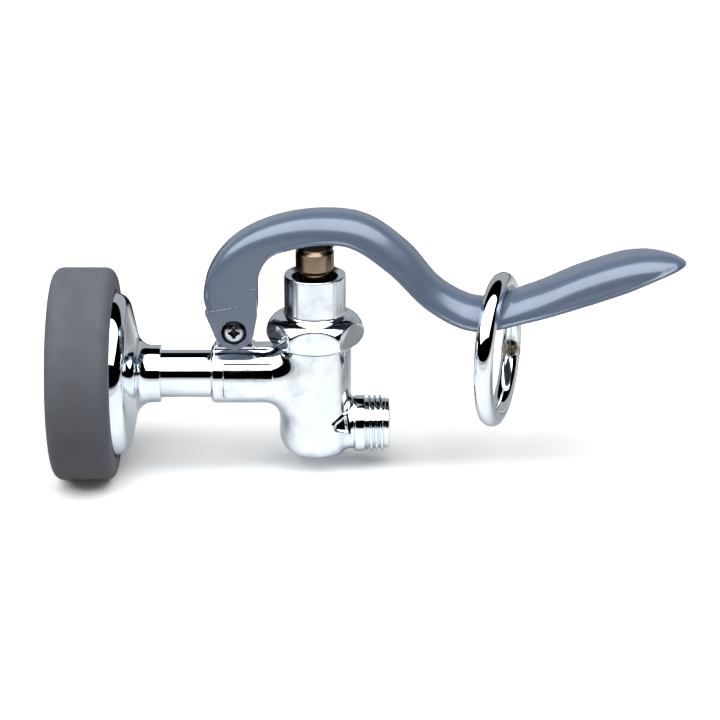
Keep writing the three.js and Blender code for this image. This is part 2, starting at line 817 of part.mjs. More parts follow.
// Crest point and slope of the lever at an x on its handle
function crestAt(x) {
  let [low, high] = [0.2, 1];
  for (let i = 0; i < 30; i += 1) {
    const middle = (low + high) / 2;
    if (crestLine.getPoint(middle).x < x) {
      low = middle;
    } else {
      high = middle;
    }
  }
  return { point: crestLine.getPoint(low), direction: crestLine.getTangent(low) };
}

// One ear of the lever, standing a little proud of the lever's side
function earOutline() {
  return [
    [pivotX + 7.6, pivotZ + 15.3],
    [pivotX + 4.6, pivotZ + 15.3],
    [pivotX + 4.4, pivotZ + 10],
    [pivotX - 9.6, pivotZ + 7.1],
    ...arc(pivotX, pivotZ + 0.8, earCorner, 195, 345, 8),
    [pivotX + 7.7, pivotZ + 5.8],
  ];
}

function lever() {
  const outside = [];
  for (let i = 0; i <= stationCount; i += 1) {
    outside.push(leverSection(i / stationCount, 0, 0, outsideSteps));
  }
  const inside = [];
  const insideEnd = 0.93;
  const insideCount = stationCount - 12;
  const insideReach = 3;
  for (let i = 0; i <= insideCount; i += 1) {
    inside.push(leverSection(insideEnd * i / insideCount, leverWall, insideReach, insideSteps));
  }
  inside[0] = inside[0].map((point, i) => point.clone().lerp(inside[1][i], -2));
  const earMiddle = (earOuter + earInner) / 2;
  const ear = (side) => solid(plate(earOutline(), earOuter - earInner, side * earMiddle));
  const noseHeight = capTop + seatGap + noseRadius;
  const noseTop = crestAt(noseX).point.z - leverWall / 2;
  const core = [];
  for (let i = 0; i <= coreSteps; i += 1) {
    core.push(leverSection(coreStart + (coreEnd - coreStart) * i / coreSteps, leverWall / 2, 0, insideSteps));
  }
  const nose = plate([
    ...arc(noseX, noseHeight, noseRadius, 180, 360, 8),
    [noseX + noseRadius, noseTop],
    [noseX - noseRadius, noseTop],
  ], 4 * capRadius);
  const headSeat = earOuter - screwHeadHeight - seatGap;
  const head = rod(screwHeadRadius + seatGap, headSeat, earOuter + overcut, smallFacets);
  const pocket = rod(nutCorner + fitGap, -earOuter - overcut, nutPocket - earOuter, 6);
  const shape = solid(loft(outside))
    .subtract(solid(loft(inside)))
    .add(solid(loft(core)).intersect(solid(nose)))
    .add(ear(1))
    .add(ear(-1))
    .subtract(solid(pivotHole(earOuter + overcut)))
    .subtract(solid(acrossPivot(head)))
    .subtract(solid(acrossPivot(pocket)));
  return geometryOf(shape);
}

// Cross-head screw from the near side, its end through the nut on the far side
function pivotScrew() {
  const seat = earOuter - screwHeadHeight;
  const end = -(earOuter + nutHeight / 2);
  const top = seat + screwHeadHeight * 1.15;
  const body = turned([
    [0, end],
    [screwRadius, end],
    [screwRadius, seat],
    [screwHeadRadius, seat],
    [screwHeadRadius, seat + screwHeadHeight / 2],
    [screwHeadRadius * 0.8, seat + screwHeadHeight],
    [0, top],
  ], smallFacets);
  const slot = () => new THREE.BoxGeometry(crossLength, crossWidth, 2 * crossDepth);
  const shape = solid(acrossPivot(body))
    .subtract(solid(acrossPivot(slot().translate(0, 0, top))))
    .subtract(solid(acrossPivot(slot().rotateZ(Math.PI / 2).translate(0, 0, top))));
  return geometryOf(shape);
}

function pivotNut() {
  const from = nutPocket - seatGap - earOuter;
  const nut = solid(rod(nutCorner, from - nutHeight, from, 6));
  const hole = solid(rod(screwRadius + fitGap, from - nutHeight - overcut, from + overcut, smallFacets));
  const geometry = geometryOf(nut.subtract(hole));
  return acrossPivot(geometry);
}

// The ring hangs with its wire resting across the lever's crest
function ringPlace() {
  const { point, direction } = crestAt(ringX);
  const normal = new THREE.Vector3(-direction.z, 0, direction.x);
  return point.addScaledVector(normal, wireRadius + seatGap).setZ(point.z + ringLift);
}

function holdRing() {
  const radius = ringOuter - wireRadius;
  return turnedRing(arc(radius, 0, wireRadius, 0, 360, 9).slice(1), wideFacets).rotateY(Math.PI / 2);
}

const finishes = {
  chrome: { color: 0xd9dcdf, metalness: 1, roughness: 0.08 },
  brass: { color: 0xc2a568, metalness: 1, roughness: 0.3 },
  bronze: { color: 0xa38c74, metalness: 1, roughness: 0.25 },
  steel: { color: 0xb9bcc0, metalness: 1, roughness: 0.35 },
  rubber: { color: 0x6d6e74, metalness: 0, roughness: 0.8 },
  seal: { color: 0x1d1d1f, metalness: 0, roughness: 0.7 },
  coated: { color: 0x76839c, metalness: 0, roughness: 0.3 },
};

const valve = new THREE.Group();

function add(name, geometry, finish, parent = valve) {
  const mesh = new THREE.Mesh(geometry, new THREE.MeshStandardMaterial(finishes[finish]));
  mesh.name = name;
  parent.add(mesh);
  return mesh;
}

add('valve_body', valveBody(), 'chrome');
add('outlet_tube', outletTube(), 'chrome');
add('spray_bell', sprayBell(), 'chrome');
add('spray_face_gasket', sprayFaceGasket(), 'seal');
add('spray_face', sprayFace(), 'steel');
add('spray_face_screw', sprayFaceScrew(), 'steel');
add('bumper_ring', bumperRing(), 'rubber');
add('bonnet', bonnet(), 'chrome');
add('bonnet_gasket', bonnetGasket(), 'seal');
add('packing_nut', packingNutShape(), 'brass');
add('packing_washer', packingWasherShape(), 'brass');
add('stem_ring_lower', stemRing(0), 'seal');
add('stem_ring_upper', stemRing(1), 'seal');
add('plunger_cap', plungerCap(), 'bronze');
add('valve_stem', valveStem(), 'brass');
add('valve_seat', valveSeat(), 'brass');
add('seat_ring', seatRing(), 'seal');
add('seat_washer', seatWasher(), 'seal');
add('washer_retainer', washerRetainer(), 'brass');
add('washer_screw', washerScrewShape(), 'steel');
add('return_spring', returnSpring(), 'steel');
add('lever', lever(), 'coated');
add('pivot_screw', pivotScrew(), 'steel');
add('pivot_nut', pivotNut(), 'steel');

const ringHanger = new THREE.Group();
ringHanger.position.copy(ringPlace());
ringHanger.rotation.z = ringYaw * degrees;
const ring = add('hold_ring', holdRing(), 'chrome', ringHanger);
ring.position.z = wireRadius - ringOuter;
valve.add(ringHanger);

valve.position.set(-inletReach, 0, -inletHeight);
const part = new THREE.Group();
part.add(valve);
part.updateMatrixWorld(true);

export default part;
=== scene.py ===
# Squeeze spray valve of a pre-rinse faucet, dressed for a white studio
from math import acos, cos, degrees, exp, pi, radians, sin, tan
import bpy
import numpy as np
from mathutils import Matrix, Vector


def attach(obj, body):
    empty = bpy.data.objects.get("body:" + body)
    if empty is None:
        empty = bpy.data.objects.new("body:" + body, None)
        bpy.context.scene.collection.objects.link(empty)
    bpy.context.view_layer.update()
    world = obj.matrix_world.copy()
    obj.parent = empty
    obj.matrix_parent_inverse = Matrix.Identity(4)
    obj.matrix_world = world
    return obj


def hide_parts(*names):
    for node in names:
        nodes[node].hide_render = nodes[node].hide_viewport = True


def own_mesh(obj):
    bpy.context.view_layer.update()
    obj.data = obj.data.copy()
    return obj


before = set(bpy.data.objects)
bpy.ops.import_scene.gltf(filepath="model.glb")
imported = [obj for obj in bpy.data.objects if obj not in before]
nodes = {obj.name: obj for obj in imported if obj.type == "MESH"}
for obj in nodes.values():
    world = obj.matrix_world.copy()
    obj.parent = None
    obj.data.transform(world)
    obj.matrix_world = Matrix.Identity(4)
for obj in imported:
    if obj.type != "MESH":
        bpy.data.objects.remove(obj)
scene = bpy.context.scene
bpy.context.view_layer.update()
print("stage: frame loaded")

# Shapes are drawn in millimetres, with the barrel's axis at x = 0 and the spray's axis at z = 0
hoseInlet = (24.8, 0, -17.8)  # the frame's origin, seen from the barrel
pivot = (-26.7, 17.4)  # x and z of the lever's pivot
seam = 11.6  # height of the joint between body and bonnet
cupTop = 35.5
capTop = 50.6


def place(points):
    return (np.asarray(points, float) - hoseInlet) * 0.001


# Camera, from the photograph's outlines
view = {"lookAt": (14.9, 0, 4.86), "distance": 920, "elevation": 21, "lens": 137.7}


def makeCamera(lookAt, distance, elevation, lens):
    tilt = radians(elevation)
    back = np.array([0, -cos(tilt), sin(tilt)])
    data = bpy.data.cameras.new("camera")
    data.lens = lens
    data.sensor_width = 36
    data.clip_start = 0.02
    data.clip_end = 30
    camera = bpy.data.objects.new("camera", data)
    camera.location = place(np.array(lookAt) + back * distance)
    camera.rotation_mode = "QUATERNION"
    camera.rotation_quaternion = Vector(-back).to_track_quat("-Z", "Y")
    scene.collection.objects.link(camera)
    scene.camera = camera


makeCamera(**view)
print("stage: camera")


# Mesh parts: each is a pair of points and faces
def outward(points, faces):
    total = 0
    for face in faces:
        a = points[face[0]]
        for b, c in zip(face[1:-1], face[2:]):
            total += np.dot(a, np.cross(points[b], points[c]))
    if total < 0:
        faces = [face[::-1] for face in faces]
    return points, faces


def strip(rings, closedRow=False, caps=False):
    # faces between rings of points; in a closed row the last ring joins the first
    rows, count = len(rings), len(rings[0])
    faces = []
    for i in range(rows if closedRow else rows - 1):
        here, there = i * count, (i + 1) % rows * count
        for j in range(count):
            k = (j + 1) % count
            faces.append([here + j, here + k, there + k, there + j])
    if caps:
        faces += [list(range(count))[::-1], list(range((rows - 1) * count, rows * count))]
    return outward(np.concatenate(rings), faces)


def rounded(corners, steps=4):
    # corners are (radius, height, fillet), and fillets on one edge never meet
    path = []
    for i, (x, y, fillet) in enumerate(corners):
        here = np.array([x, y], float)
        if fillet <= 0:
            path.append(here)
            continue
        before = np.array(corners[i - 1][:2], float) - here
        after = np.array(corners[(i + 1) % len(corners)][:2], float) - here
        lengths = [np.linalg.norm(before), np.linalg.norm(after)]
        before, after = before / lengths[0], after / lengths[1]
        half = acos(np.clip(np.dot(before, after), -1, 1)) / 2
        reach = min(fillet / tan(half), 0.48 * min(lengths))
        radius = reach * tan(half)
        middle = here + (before + after) / np.linalg.norm(before + after) * radius / sin(half)
        start, end = here + before * reach - middle, here + after * reach - middle
        for k in range(steps + 1):
            share = k / steps
            spoke = start * (1 - share) + end * share
            path.append(middle + spoke / np.linalg.norm(spoke) * radius)
    return path


def turned(profile, axis, segments=128, ring=False):
    # profile points are (radius, height); heights run up, or out along the spray
    angles = np.arange(segments) * 2 * pi / segments
    rings = []
    for radius, height in profile:
        a, b = max(radius, 1e-4) * np.cos(angles), max(radius, 1e-4) * np.sin(angles)
        h = np.full(segments, float(height))
        rings.append(np.stack([a, b, h] if axis == "up" else [-h, a, b], 1))
    return strip(rings, closedRow=ring, caps=not ring)


# Distance fields, for cast and milled forms whose edges run into each other
def blendMin(a, b, size):
    h = np.clip(0.5 + 0.5 * (b - a) / size, 0, 1)
    return b + (a - b) * h - size * h * (1 - h)


def blendMax(a, b, size):
    return -blendMin(-a, -b, size)


def lengthOf(*parts):
    return np.sqrt(sum(part * part for part in parts))


def bothField(out, past, edge):
    # inside both, with the edge between them rounded
    out, past = out + edge, past + edge
    return lengthOf(np.maximum(out, 0), np.maximum(past, 0)) + np.minimum(np.maximum(out, past), 0) - edge


def rodField(across, along, radius, low, high, edge):
    return bothField(across - radius, np.abs(along - (low + high) / 2) - (high - low) / 2, edge)


def outlineField(x, y, outline):
    # signed distance to a closed outline in the plane
    best = np.full(x.shape, 1e9)
    inside = np.ones(x.shape)
    count = len(outline)
    for i in range(count):
        ax, ay = outline[i]
        bx, by = outline[i - 1]
        ex, ey = bx - ax, by - ay
        wx, wy = x - ax, y - ay
        share = np.clip((wx * ex + wy * ey) / (ex * ex + ey * ey), 0, 1)
        best = np.minimum(best, (wx - ex * share) ** 2 + (wy - ey * share) ** 2)
        over, under, left = y >= ay, y < by, ex * wy > ey * wx
        inside = np.where((over & under & left) | (~over & ~under & ~left), -inside, inside)
    return inside * np.sqrt(best)


def plateField(flat, across, half, edge):
    return bothField(flat, np.abs(across) - half, edge)


def hexagonField(x, y, flats, turn=0):
    # flats is half the width across them
    field = np.full(x.shape, -1e9)
    for angle in (0, 60, 120):
        a = radians(angle + turn)
        field = np.maximum(field, np.abs(x * cos(a) + y * sin(a)) - flats)
    return field


def slopeOf(field, points, reach=0.01):
    slope = np.empty_like(points)
    for i in range(3):
        step = np.zeros(3)
        step[i] = reach
        slope[:, i] = (field(points + step) - field(points - step)) / (2 * reach)
    return slope


def skin(field, low, high, step, relax=2):
    # one point in each grid cell that the surface crosses, evened out and moved onto the surface
    axes = [np.arange(low[i], high[i] + step, step) for i in range(3)]
    shape = tuple(len(axis) for axis in axes)
    grid = np.stack(np.meshgrid(*axes, indexing="ij"), -1)
    values = field(grid.reshape(-1, 3)).reshape(shape)
    inside = values < 0
    cells = tuple(n - 1 for n in shape)
    corners = [(i, j, k) for i in (0, 1) for j in (0, 1) for k in (0, 1)]

    def part(source, c):
        return source[c[0]:c[0] + cells[0], c[1]:c[1] + cells[1], c[2]:c[2] + cells[2]]

    filled = sum(part(inside, c).astype(int) for c in corners)
    active = (filled > 0) & (filled < 8)
    number = np.full(cells, -1)
    number[active] = np.arange(active.sum())
    origin = np.argwhere(active)
    total, hits = np.zeros((len(origin), 3)), np.zeros(len(origin))
    for c in corners:
        for axis in range(3):
            if c[axis]:
                continue
            d = tuple(c[i] + (i == axis) for i in range(3))
            a, b = part(values, c)[active], part(values, d)[active]
            cut = (a < 0) != (b < 0)
            share = np.where(cut, a / np.where(cut, a - b, 1), 0)
            spot = np.array(c, float) + share[:, None] * (np.arange(3) == axis)
            total[cut] += spot[cut]
            hits[cut] += 1
    points = np.array(low) + (origin + total / hits[:, None]) * step
    quads = []
    for axis in range(3):
        u, v = (axis + 1) % 3, (axis + 2) % 3
        first, second = [slice(None)] * 3, [slice(None)] * 3
        first[axis], second[axis] = slice(0, -1), slice(1, None)
        a, b = inside[tuple(first)], inside[tuple(second)]
        spots = np.argwhere(a != b)
        keep = (spots[:, u] > 0) & (spots[:, v] > 0)
        keep &= (spots[:, u] < cells[u]) & (spots[:, v] < cells[v])
        spots = spots[keep]
        rising = a[tuple(spots.T)]
        around = []
        for du, dv in ((1, 1), (0, 1), (0, 0), (1, 0)):
            spot = spots.copy()
            spot[:, u] -= du
            spot[:, v] -= dv
            around.append(number[tuple(spot.T)])
        quad = np.stack(around, 1)
        quad[~rising] = quad[~rising][:, ::-1]
        quads.append(quad)
    quads = np.concatenate(quads)
    for turn in range(relax + 1):
        if turn:
            total, hits = np.zeros_like(points), np.zeros(len(points))
            for i in range(4):
                for j in (i - 1, (i + 1) % 4):
                    np.add.at(total, quads[:, i], points[quads[:, j]])
                    np.add.at(hits, quads[:, i], 1)
            points = 0.5 * points + 0.5 * total / hits[:, None]
        for _ in range(3):
            slope = slopeOf(field, points)
            size = np.maximum((slope * slope).sum(1), 0.05)
            move = (field(points) / size)[:, None] * slope
            points = points - np.clip(move, -step, step)
    return points, quads.tolist()


def makePiece(name, parts, body, material, standsFor=(), sharp=32, field=None, second=None):
    # second is another material and a test of the faces' middles and normals that says which take it
    points, faces, count = [], [], 0
    for partPoints, partFaces in parts:
        points.append(np.asarray(partPoints))
        faces.extend([[i + count for i in face] for face in partFaces])
        count += len(partPoints)
    points = np.concatenate(points)
    mesh = bpy.data.meshes.new(name)
    mesh.from_pydata(place(points).tolist(), [], faces)
    mesh.shade_smooth()
    if field is None:
        mesh.set_sharp_from_angle(angle=radians(sharp))
    else:
        slope = slopeOf(field, points)
        slope /= np.maximum(np.linalg.norm(slope, axis=1), 1e-9)[:, None]
        mesh.normals_split_custom_set_from_vertices(slope.tolist())
    piece = bpy.data.objects.new(name, mesh)
    scene.collection.objects.link(piece)
    mesh.materials.append(material)
    if second:
        mesh.materials.append(second[0])
        middles = np.array([points[face].mean(0) for face in faces])
        corners = np.array([points[face[:3]] for face in faces])
        normals = np.cross(corners[:, 1] - corners[:, 0], corners[:, 2] - corners[:, 0])
        mesh.polygons.foreach_set("material_index", second[1](middles, normals).astype(int))
    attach(piece, body)
    if standsFor:
        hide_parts(*standsFor)
    return piece


def addSkin(name, field, low, high, step, body, material, node, relax=2):
    part = skin(field, low, high, step, relax)
    makePiece(name, [part], body, material, [node], field=field)


# Node helpers
def addNode(tree, kind, inputs=None, **settings):
    made = tree.nodes.new(kind)
    for key, value in settings.items():
        setattr(made, key, value)
    for key, value in (inputs or {}).items():
        if isinstance(value, bpy.types.NodeSocket):
            tree.links.new(value, made.inputs[key])
        else:
            made.inputs[key].default_value = value
    return made


def mathNode(tree, operation, a, b=None, c=None, clamp=False):
    inputs = {i: value for i, value in enumerate((a, b, c)) if value is not None}
    return addNode(tree, "ShaderNodeMath", inputs, operation=operation, use_clamp=clamp).outputs[0]


def times(tree, a, b):
    return mathNode(tree, "MULTIPLY", a, b)


def larger(tree, a, b):
    return mathNode(tree, "MAXIMUM", a, b)


def spread(tree, value, low, high, toLow=0.0, toHigh=1.0, smooth=True):
    kind = "SMOOTHSTEP" if smooth else "LINEAR"
    inputs = {"Value": value, "From Min": low, "From Max": high, "To Min": toLow, "To Max": toHigh}
    return addNode(tree, "ShaderNodeMapRange", inputs, interpolation_type=kind).outputs["Result"]


def mixColour(tree, share, a, b):
    return addNode(tree, "ShaderNodeMix", {0: share, 6: a, 7: b}, data_type="RGBA").outputs[2]


def partOf(tree, vector, axis):
    return addNode(tree, "ShaderNodeSeparateXYZ", {0: vector}).outputs[axis]


def cloudNoise(tree, vector, size, inputs):
    # size in millimetres
    scale = mathNode(tree, "DIVIDE", 1000.0, size)
    return addNode(tree, "ShaderNodeTexNoise", {"Vector": vector, "Scale": scale, **inputs}).outputs["Fac"]


def makeGroup(name, inputs, outputs):
    # every group takes coordinates; inputs holds the other sockets' starting values
    group = bpy.data.node_groups.new(name, "ShaderNodeTree")
    add = group.interface.new_socket
    add(name="Vector", in_out="INPUT", socket_type="NodeSocketVector")
    for socket, value in inputs.items():
        kind = "Float" if isinstance(value, float) else "Vector"
        add(name=socket, in_out="INPUT", socket_type="NodeSocket" + kind).default_value = value
    for socket in outputs:
        add(name=socket, in_out="OUTPUT", socket_type="NodeSocketFloat")
    return group, group.nodes.new("NodeGroupInput").outputs, group.nodes.new("NodeGroupOutput").inputs


def fillGroup(tree, group, inputs):
    return addNode(tree, "ShaderNodeGroup", inputs, node_tree=group).outputs


# Shared effects
def makeSmudge():
    inputs = {"Size": 12.0, "Clean": 0.05, "Handled": 0.14}
    group, entry, leave = makeGroup("handledSmudge", inputs, ["Roughness", "Mask"])
    cloud = cloudNoise(group, entry["Vector"], entry["Size"], {"Detail": 5.0, "Roughness": 0.62})
    mask = spread(group, cloud, 0.45, 0.7)
    group.links.new(mask, leave["Mask"])
    rough = spread(group, mask, 0.0, 1.0, entry["Clean"], entry["Handled"], smooth=False)
    group.links.new(rough, leave["Roughness"])
    return group


def makeRipple():
    group, entry, leave = makeGroup("surfaceRipple", {"Size": 4.0, "Detail": 2.0}, ["Height"])
    cloud = cloudNoise(group, entry["Vector"], entry["Size"], {"Detail": entry["Detail"]})
    group.links.new(cloud, leave["Height"])
    return group


def makeToolLines():
    # fine turning or polishing lines: noise drawn out along every direction but one
    inputs = {"Stretch": (1.0, 1.0, 60.0), "Size": 3.0}
    group, entry, leave = makeGroup("toolLines", inputs, ["Height", "Mask"])
    drawn = addNode(group, "ShaderNodeVectorMath", {0: entry["Vector"], 1: entry["Stretch"]},
                    operation="MULTIPLY")
    lines = cloudNoise(group, drawn.outputs[0], entry["Size"], {"Detail": 3.0})
    group.links.new(lines, leave["Height"])
    group.links.new(spread(group, lines, 0.4, 0.6, smooth=False), leave["Mask"])
    return group


smudge = makeSmudge()
ripple = makeRipple()
toolLines = makeToolLines()
print("stage: shared effects")


def rippled(tree, coords, size, detail):
    return fillGroup(tree, ripple, {"Vector": coords, "Size": size, "Detail": detail})["Height"]


def lined(tree, coords, stretch, size):
    return fillGroup(tree, toolLines, {"Vector": coords, "Stretch": stretch, "Size": size})


def newMaterial(name):
    material = bpy.data.materials.new(name)
    material.use_nodes = True
    return material, material.node_tree


def startMaterial(name, look, values):
    # look gives the film of handling, and values are for the shader's own sockets
    material, tree = newMaterial(name)
    shader = tree.nodes["Principled BSDF"]
    for key, value in values.items():
        shader.inputs[key].default_value = value
    coords = tree.nodes.new("ShaderNodeTexCoord").outputs["Object"]
    sizes = {"Size": look["patch"], "Clean": look["clean"], "Handled": look["handled"]}
    return material, tree, shader, coords, fillGroup(tree, smudge, {"Vector": coords, **sizes})


def joinShader(tree, shader, colour, roughness, height, depth):
    # depth of the relief in millimetres
    bump = addNode(tree, "ShaderNodeBump", {"Height": height, "Strength": 1.0, "Distance": depth * 0.001})
    made = {"Base Color": colour, "Roughness": roughness, "Normal": bump.outputs["Normal"]}
    for key, socket in made.items():
        tree.links.new(socket, shader.inputs[key])


chromeLook = {"colour": (0.88, 0.91, 0.94, 1), "shade": (0.8, 0.835, 0.87, 1),
              "clean": 0.02, "handled": 0.07, "patch": 14.0}
castLook = {"colour": (0.89, 0.92, 0.945, 1), "shade": (0.7, 0.73, 0.76, 1),
            "clean": 0.045, "handled": 0.13, "patch": 7.0}
coatingLook = {"colour": (0.15, 0.2, 0.29, 1), "shade": (0.135, 0.178, 0.255, 1),
               "clean": 0.36, "handled": 0.44, "patch": 18.0}
# painted shade: the channel's inner faces take a near-black copy of the coating, standing for the deep shade
# inside the lever
paintedShadeLook = {"colour": (0.03, 0.034, 0.042, 1), "shade": (0.02, 0.022, 0.026, 1),
              "clean": 0.6, "handled": 0.68, "patch": 18.0}
metallic = {"Metallic": 1.0}
lacquer = {"Coat Weight": 1.0, "Coat Roughness": 0.17, "Coat IOR": 1.6, "Specular IOR Level": 0.4}


def evenMaterial(name, look, depth, ripples=None, detail=1.0, lines=None, values=metallic):
    # plating or coating with a film of handling, over ripples or drawn lines
    material, tree, shader, coords, film = startMaterial(name, look, values)
    colour = mixColour(tree, film["Mask"], look["colour"], look["shade"])
    height = lined(tree, coords, lines, 2.0)["Height"] if lines else rippled(tree, coords, ripples, detail)
    joinShader(tree, shader, colour, film["Roughness"], height, depth)
    return material


castChrome = evenMaterial("castChrome", castLook, 0.028, ripples=4.5)
tubeChrome = evenMaterial("polishedChrome", chromeLook, 0.0006, lines=(0.02, 1.0, 1.0))
bellChrome = evenMaterial("spunChrome", chromeLook, 0.006, ripples=9.0)
coating = evenMaterial("leverCoating", coatingLook, 0.006, ripples=1.6, detail=2.0, values=lacquer)
# the painted shade inside the lever's channel
leverPaintedShade = evenMaterial("leverPaintedShade", paintedShadeLook, 0.006, ripples=1.6, detail=2.0,
                           values={**lacquer, "Coat Weight": 0.2})

cupLook = {"patch": 7.0, "clean": 0.03, "handled": 0.1, "from": 0.0392, "to": 0.0405, "rougher": 0.12,
           "stretch": (0.6, 0.6, 9.0), "lineSize": 1.6, "lines": 0.8, "ripples": 5.0, "depth": 0.012}


def turnedCupMaterial(look):
    # plating over fine turning lines on the cup, smooth on the hexagon below it
    material, tree, shader, coords, film = startMaterial("bonnetChrome", look, metallic)
    colour = mixColour(tree, film["Mask"], chromeLook["colour"], castLook["shade"])
    cup = spread(tree, partOf(tree, coords, "Z"), look["from"], look["to"])
    rough = mathNode(tree, "MULTIPLY_ADD", cup, look["rougher"], film["Roughness"])
    lines = times(tree, lined(tree, coords, look["stretch"], look["lineSize"])["Height"], cup)
    height = mathNode(tree, "MULTIPLY_ADD", lines, look["lines"], rippled(tree, coords, look["ripples"], 1.0))
    joinShader(tree, shader, colour, rough, height, look["depth"])
    return material


bonnetChrome = turnedCupMaterial(cupLook)

rubberLook = {"top": (0.155, 0.165, 0.19, 1), "dusty": (0.137, 0.142, 0.157, 1),
              "clean": 0.72, "handled": 0.87, "patch": 16.0, "foot": (0.19, 0.187, 0.188, 1),
              "footHeights": (-0.016, 0.004)}
sealLook = {"top": (0.018, 0.018, 0.018, 1), "dusty": (0.03, 0.03, 0.03, 1),
            "clean": 0.5, "handled": 0.65, "patch": 16.0}


def rubberMaterial(name, look, grain):
    material, tree, shader, coords, film = startMaterial(name, look, {"Specular IOR Level": 0.35})
    speck = rippled(tree, coords, 0.5, 3.0)
    share = times(tree, film["Mask"], 0.5)
    share = mathNode(tree, "MULTIPLY_ADD", speck, 0.5, share, clamp=True)
    worn = mixColour(tree, share, look["top"], look["dusty"])
    if "foot" in look:
        # paler towards the bottom
        lowerShare = spread(tree, partOf(tree, coords, "Z"), *look["footHeights"], 1.0, 0.0)
        worn = mixColour(tree, lowerShare, worn, look["foot"])
    joinShader(tree, shader, worn, film["Roughness"], speck, grain)
    return material


bumperRubber = rubberMaterial("bumperRubber", rubberLook, 0.03)
sealRubber = rubberMaterial("sealRubber", sealLook, 0.01)

# in the cap and the screw, the last entry is painted shade: dark at the cap's top end under the lever, and at
# the bottom of the screw's cross
metals = {
    "capBronze": {"colour": (0.31, 0.235, 0.165, 1), "aged": (0.2, 0.13, 0.08, 1), "rough": 0.2,
                  "stretch": (0.5, 0.5, 10.0), "depth": 0.01,
                  "paintedShade": ("Z", 0.0623, 0.0627, (0.012, 0.011, 0.01, 1))},
    "innerBrass": {"colour": (0.78, 0.58, 0.28, 1), "aged": (0.55, 0.38, 0.17, 1), "rough": 0.25,
                   "stretch": (1.0, 1.0, 20.0), "depth": 0.01},
    "brightSteel": {"colour": (0.66, 0.66, 0.67, 1), "aged": (0.5, 0.5, 0.51, 1), "rough": 0.2,
                    "stretch": (20.0, 1.0, 1.0), "depth": 0.006},
    "screwSteel": {"colour": (0.62, 0.63, 0.65, 1), "aged": (0.5, 0.51, 0.53, 1), "rough": 0.16,
                   "stretch": (1.0, 1.0, 1.0), "depth": 0.004,
                   "paintedShade": ("Y", -0.0082, -0.00785, (0.02, 0.02, 0.022, 1))},
}


def turnedMetal(name, look):
    film = {"patch": 9.0, "clean": look["rough"], "handled": look["rough"] + 0.08}
    material, tree, shader, coords, film = startMaterial(name, film, metallic)
    lines = lined(tree, coords, look["stretch"], 4.0)
    share = times(tree, film["Mask"], 0.5)
    share = mathNode(tree, "MULTIPLY_ADD", lines["Mask"], 0.45, share, clamp=True)
    worn = mixColour(tree, share, look["colour"], look["aged"])
    if "paintedShade" in look:
        # painted shade: dark at the cap's top end, under the lever's nose, and at the bottom of the screw's
        # cross
        axis, low, high, shadeColour = look["paintedShade"]
        worn = mixColour(tree, spread(tree, partOf(tree, coords, axis), low, high), worn, shadeColour)
    joinShader(tree, shader, worn, film["Roughness"], lines["Height"], look["depth"])
    return material


capBronze, innerBrass, brightSteel, screwSteel = (turnedMetal(name, look) for name, look in metals.items())
print("stage: finishes")

# Valve body: one casting, blended where its forms meet
bodyForm = {"arm": 9.75, "barrel": 12.1, "foot": -28.4, "armEnd": -34.8, "armBlend": 5.8, "edge": 0.35}
inletForm = {"foot": 10.4, "neck": 8.2, "collar": 9.4, "root": 8.35, "bore": 6.4}
lugForm = {"radius": 5.2, "half": 3.2, "shelf": 10.5, "reach": 6.7, "hole": 2.15}
padForm = {"x": -22.2, "z": 0.45, "halfLength": 8.2, "halfHeight": 5.8, "proud": 0.65}
bores = {"mouth": 10.9, "chamber": 9.8, "well": 8.2, "way": 5.5, "tube": 8.09}
facet = [(11, -6.9, -10.6), (5.6, -10.5, -14.4), (6, -10.9, -17), (12, -9.2, -18.6)]


def lugOutline(radius, shelf, reach):
    turns = [radians(190 - 20 * i) for i in range(11)]
    arc = [(pivot[0] + radius * cos(turn), pivot[1] + radius * sin(turn)) for turn in turns]
    left, right = pivot[0] - reach, pivot[0] + reach
    return [(-33.8, 4), (-33.8, shelf), (left, shelf), *arc, (right, shelf), (-8, shelf), (-8, 4)]


def facetField(p, corners, low, high):
    # a slab from low to high over the facet's plane, cut along the lines between its corners
    corners = [np.array(corner, float) for corner in corners]
    normal = np.cross(corners[1] - corners[0], corners[-1] - corners[0])
    normal /= np.linalg.norm(normal)
    if normal[1] > 0:
        normal = -normal
    along = (p - corners[0]) @ normal
    middle = sum(corners) / len(corners)
    field = blendMax(along - high, low - along, 0.3)
    for i, corner in enumerate(corners):
        side = np.cross(corners[(i + 1) % len(corners)] - corner, normal)
        side /= np.linalg.norm(side)
        if np.dot(side, corner - middle) < 0:
            side = -side
        field = blendMax(field, (p - corner) @ side, 0.5)
    return field


def scaled(corners, factor):
    middle = sum(np.array(corner, float) for corner in corners) / len(corners)
    return [middle + (np.array(corner) - middle) * factor for corner in corners]


def inletField(around, x):
    foot = rodField(around, x, inletForm["foot"], 0, 8.2, 2)
    neck = rodField(around, x, inletForm["neck"], 0, 14, 0.5)
    collar = blendMin(blendMin(foot, neck, 3), rodField(around, x, inletForm["collar"], 13.2, 16.6, 0.5), 1.4)
    return blendMin(collar, rodField(around, x, inletForm["root"], 8, hoseInlet[0], 0.6), 0.5)


def waterField(x, z, barrel, arm, inlet):
    chamber = rodField(barrel, z, bores["chamber"], -11.2, 30, 0.3)
    hollow = blendMin(chamber, rodField(barrel, z, bores["well"], -25.9, -8, 3), 0.3)
    hollow = np.minimum(hollow, rodField(barrel, z, bores["mouth"], 10.1, 30, 0.1))
    hollow = blendMin(hollow, rodField(arm, x, bores["way"], -30, -5, 0.1), 0.4)
    hollow = blendMin(hollow, rodField(arm, x, bores["tube"], -45, -24.3, 0.1), 0.3)
    return blendMin(hollow, rodField(inlet, x, inletForm["bore"], 4, 35, 0.1), 0.4)


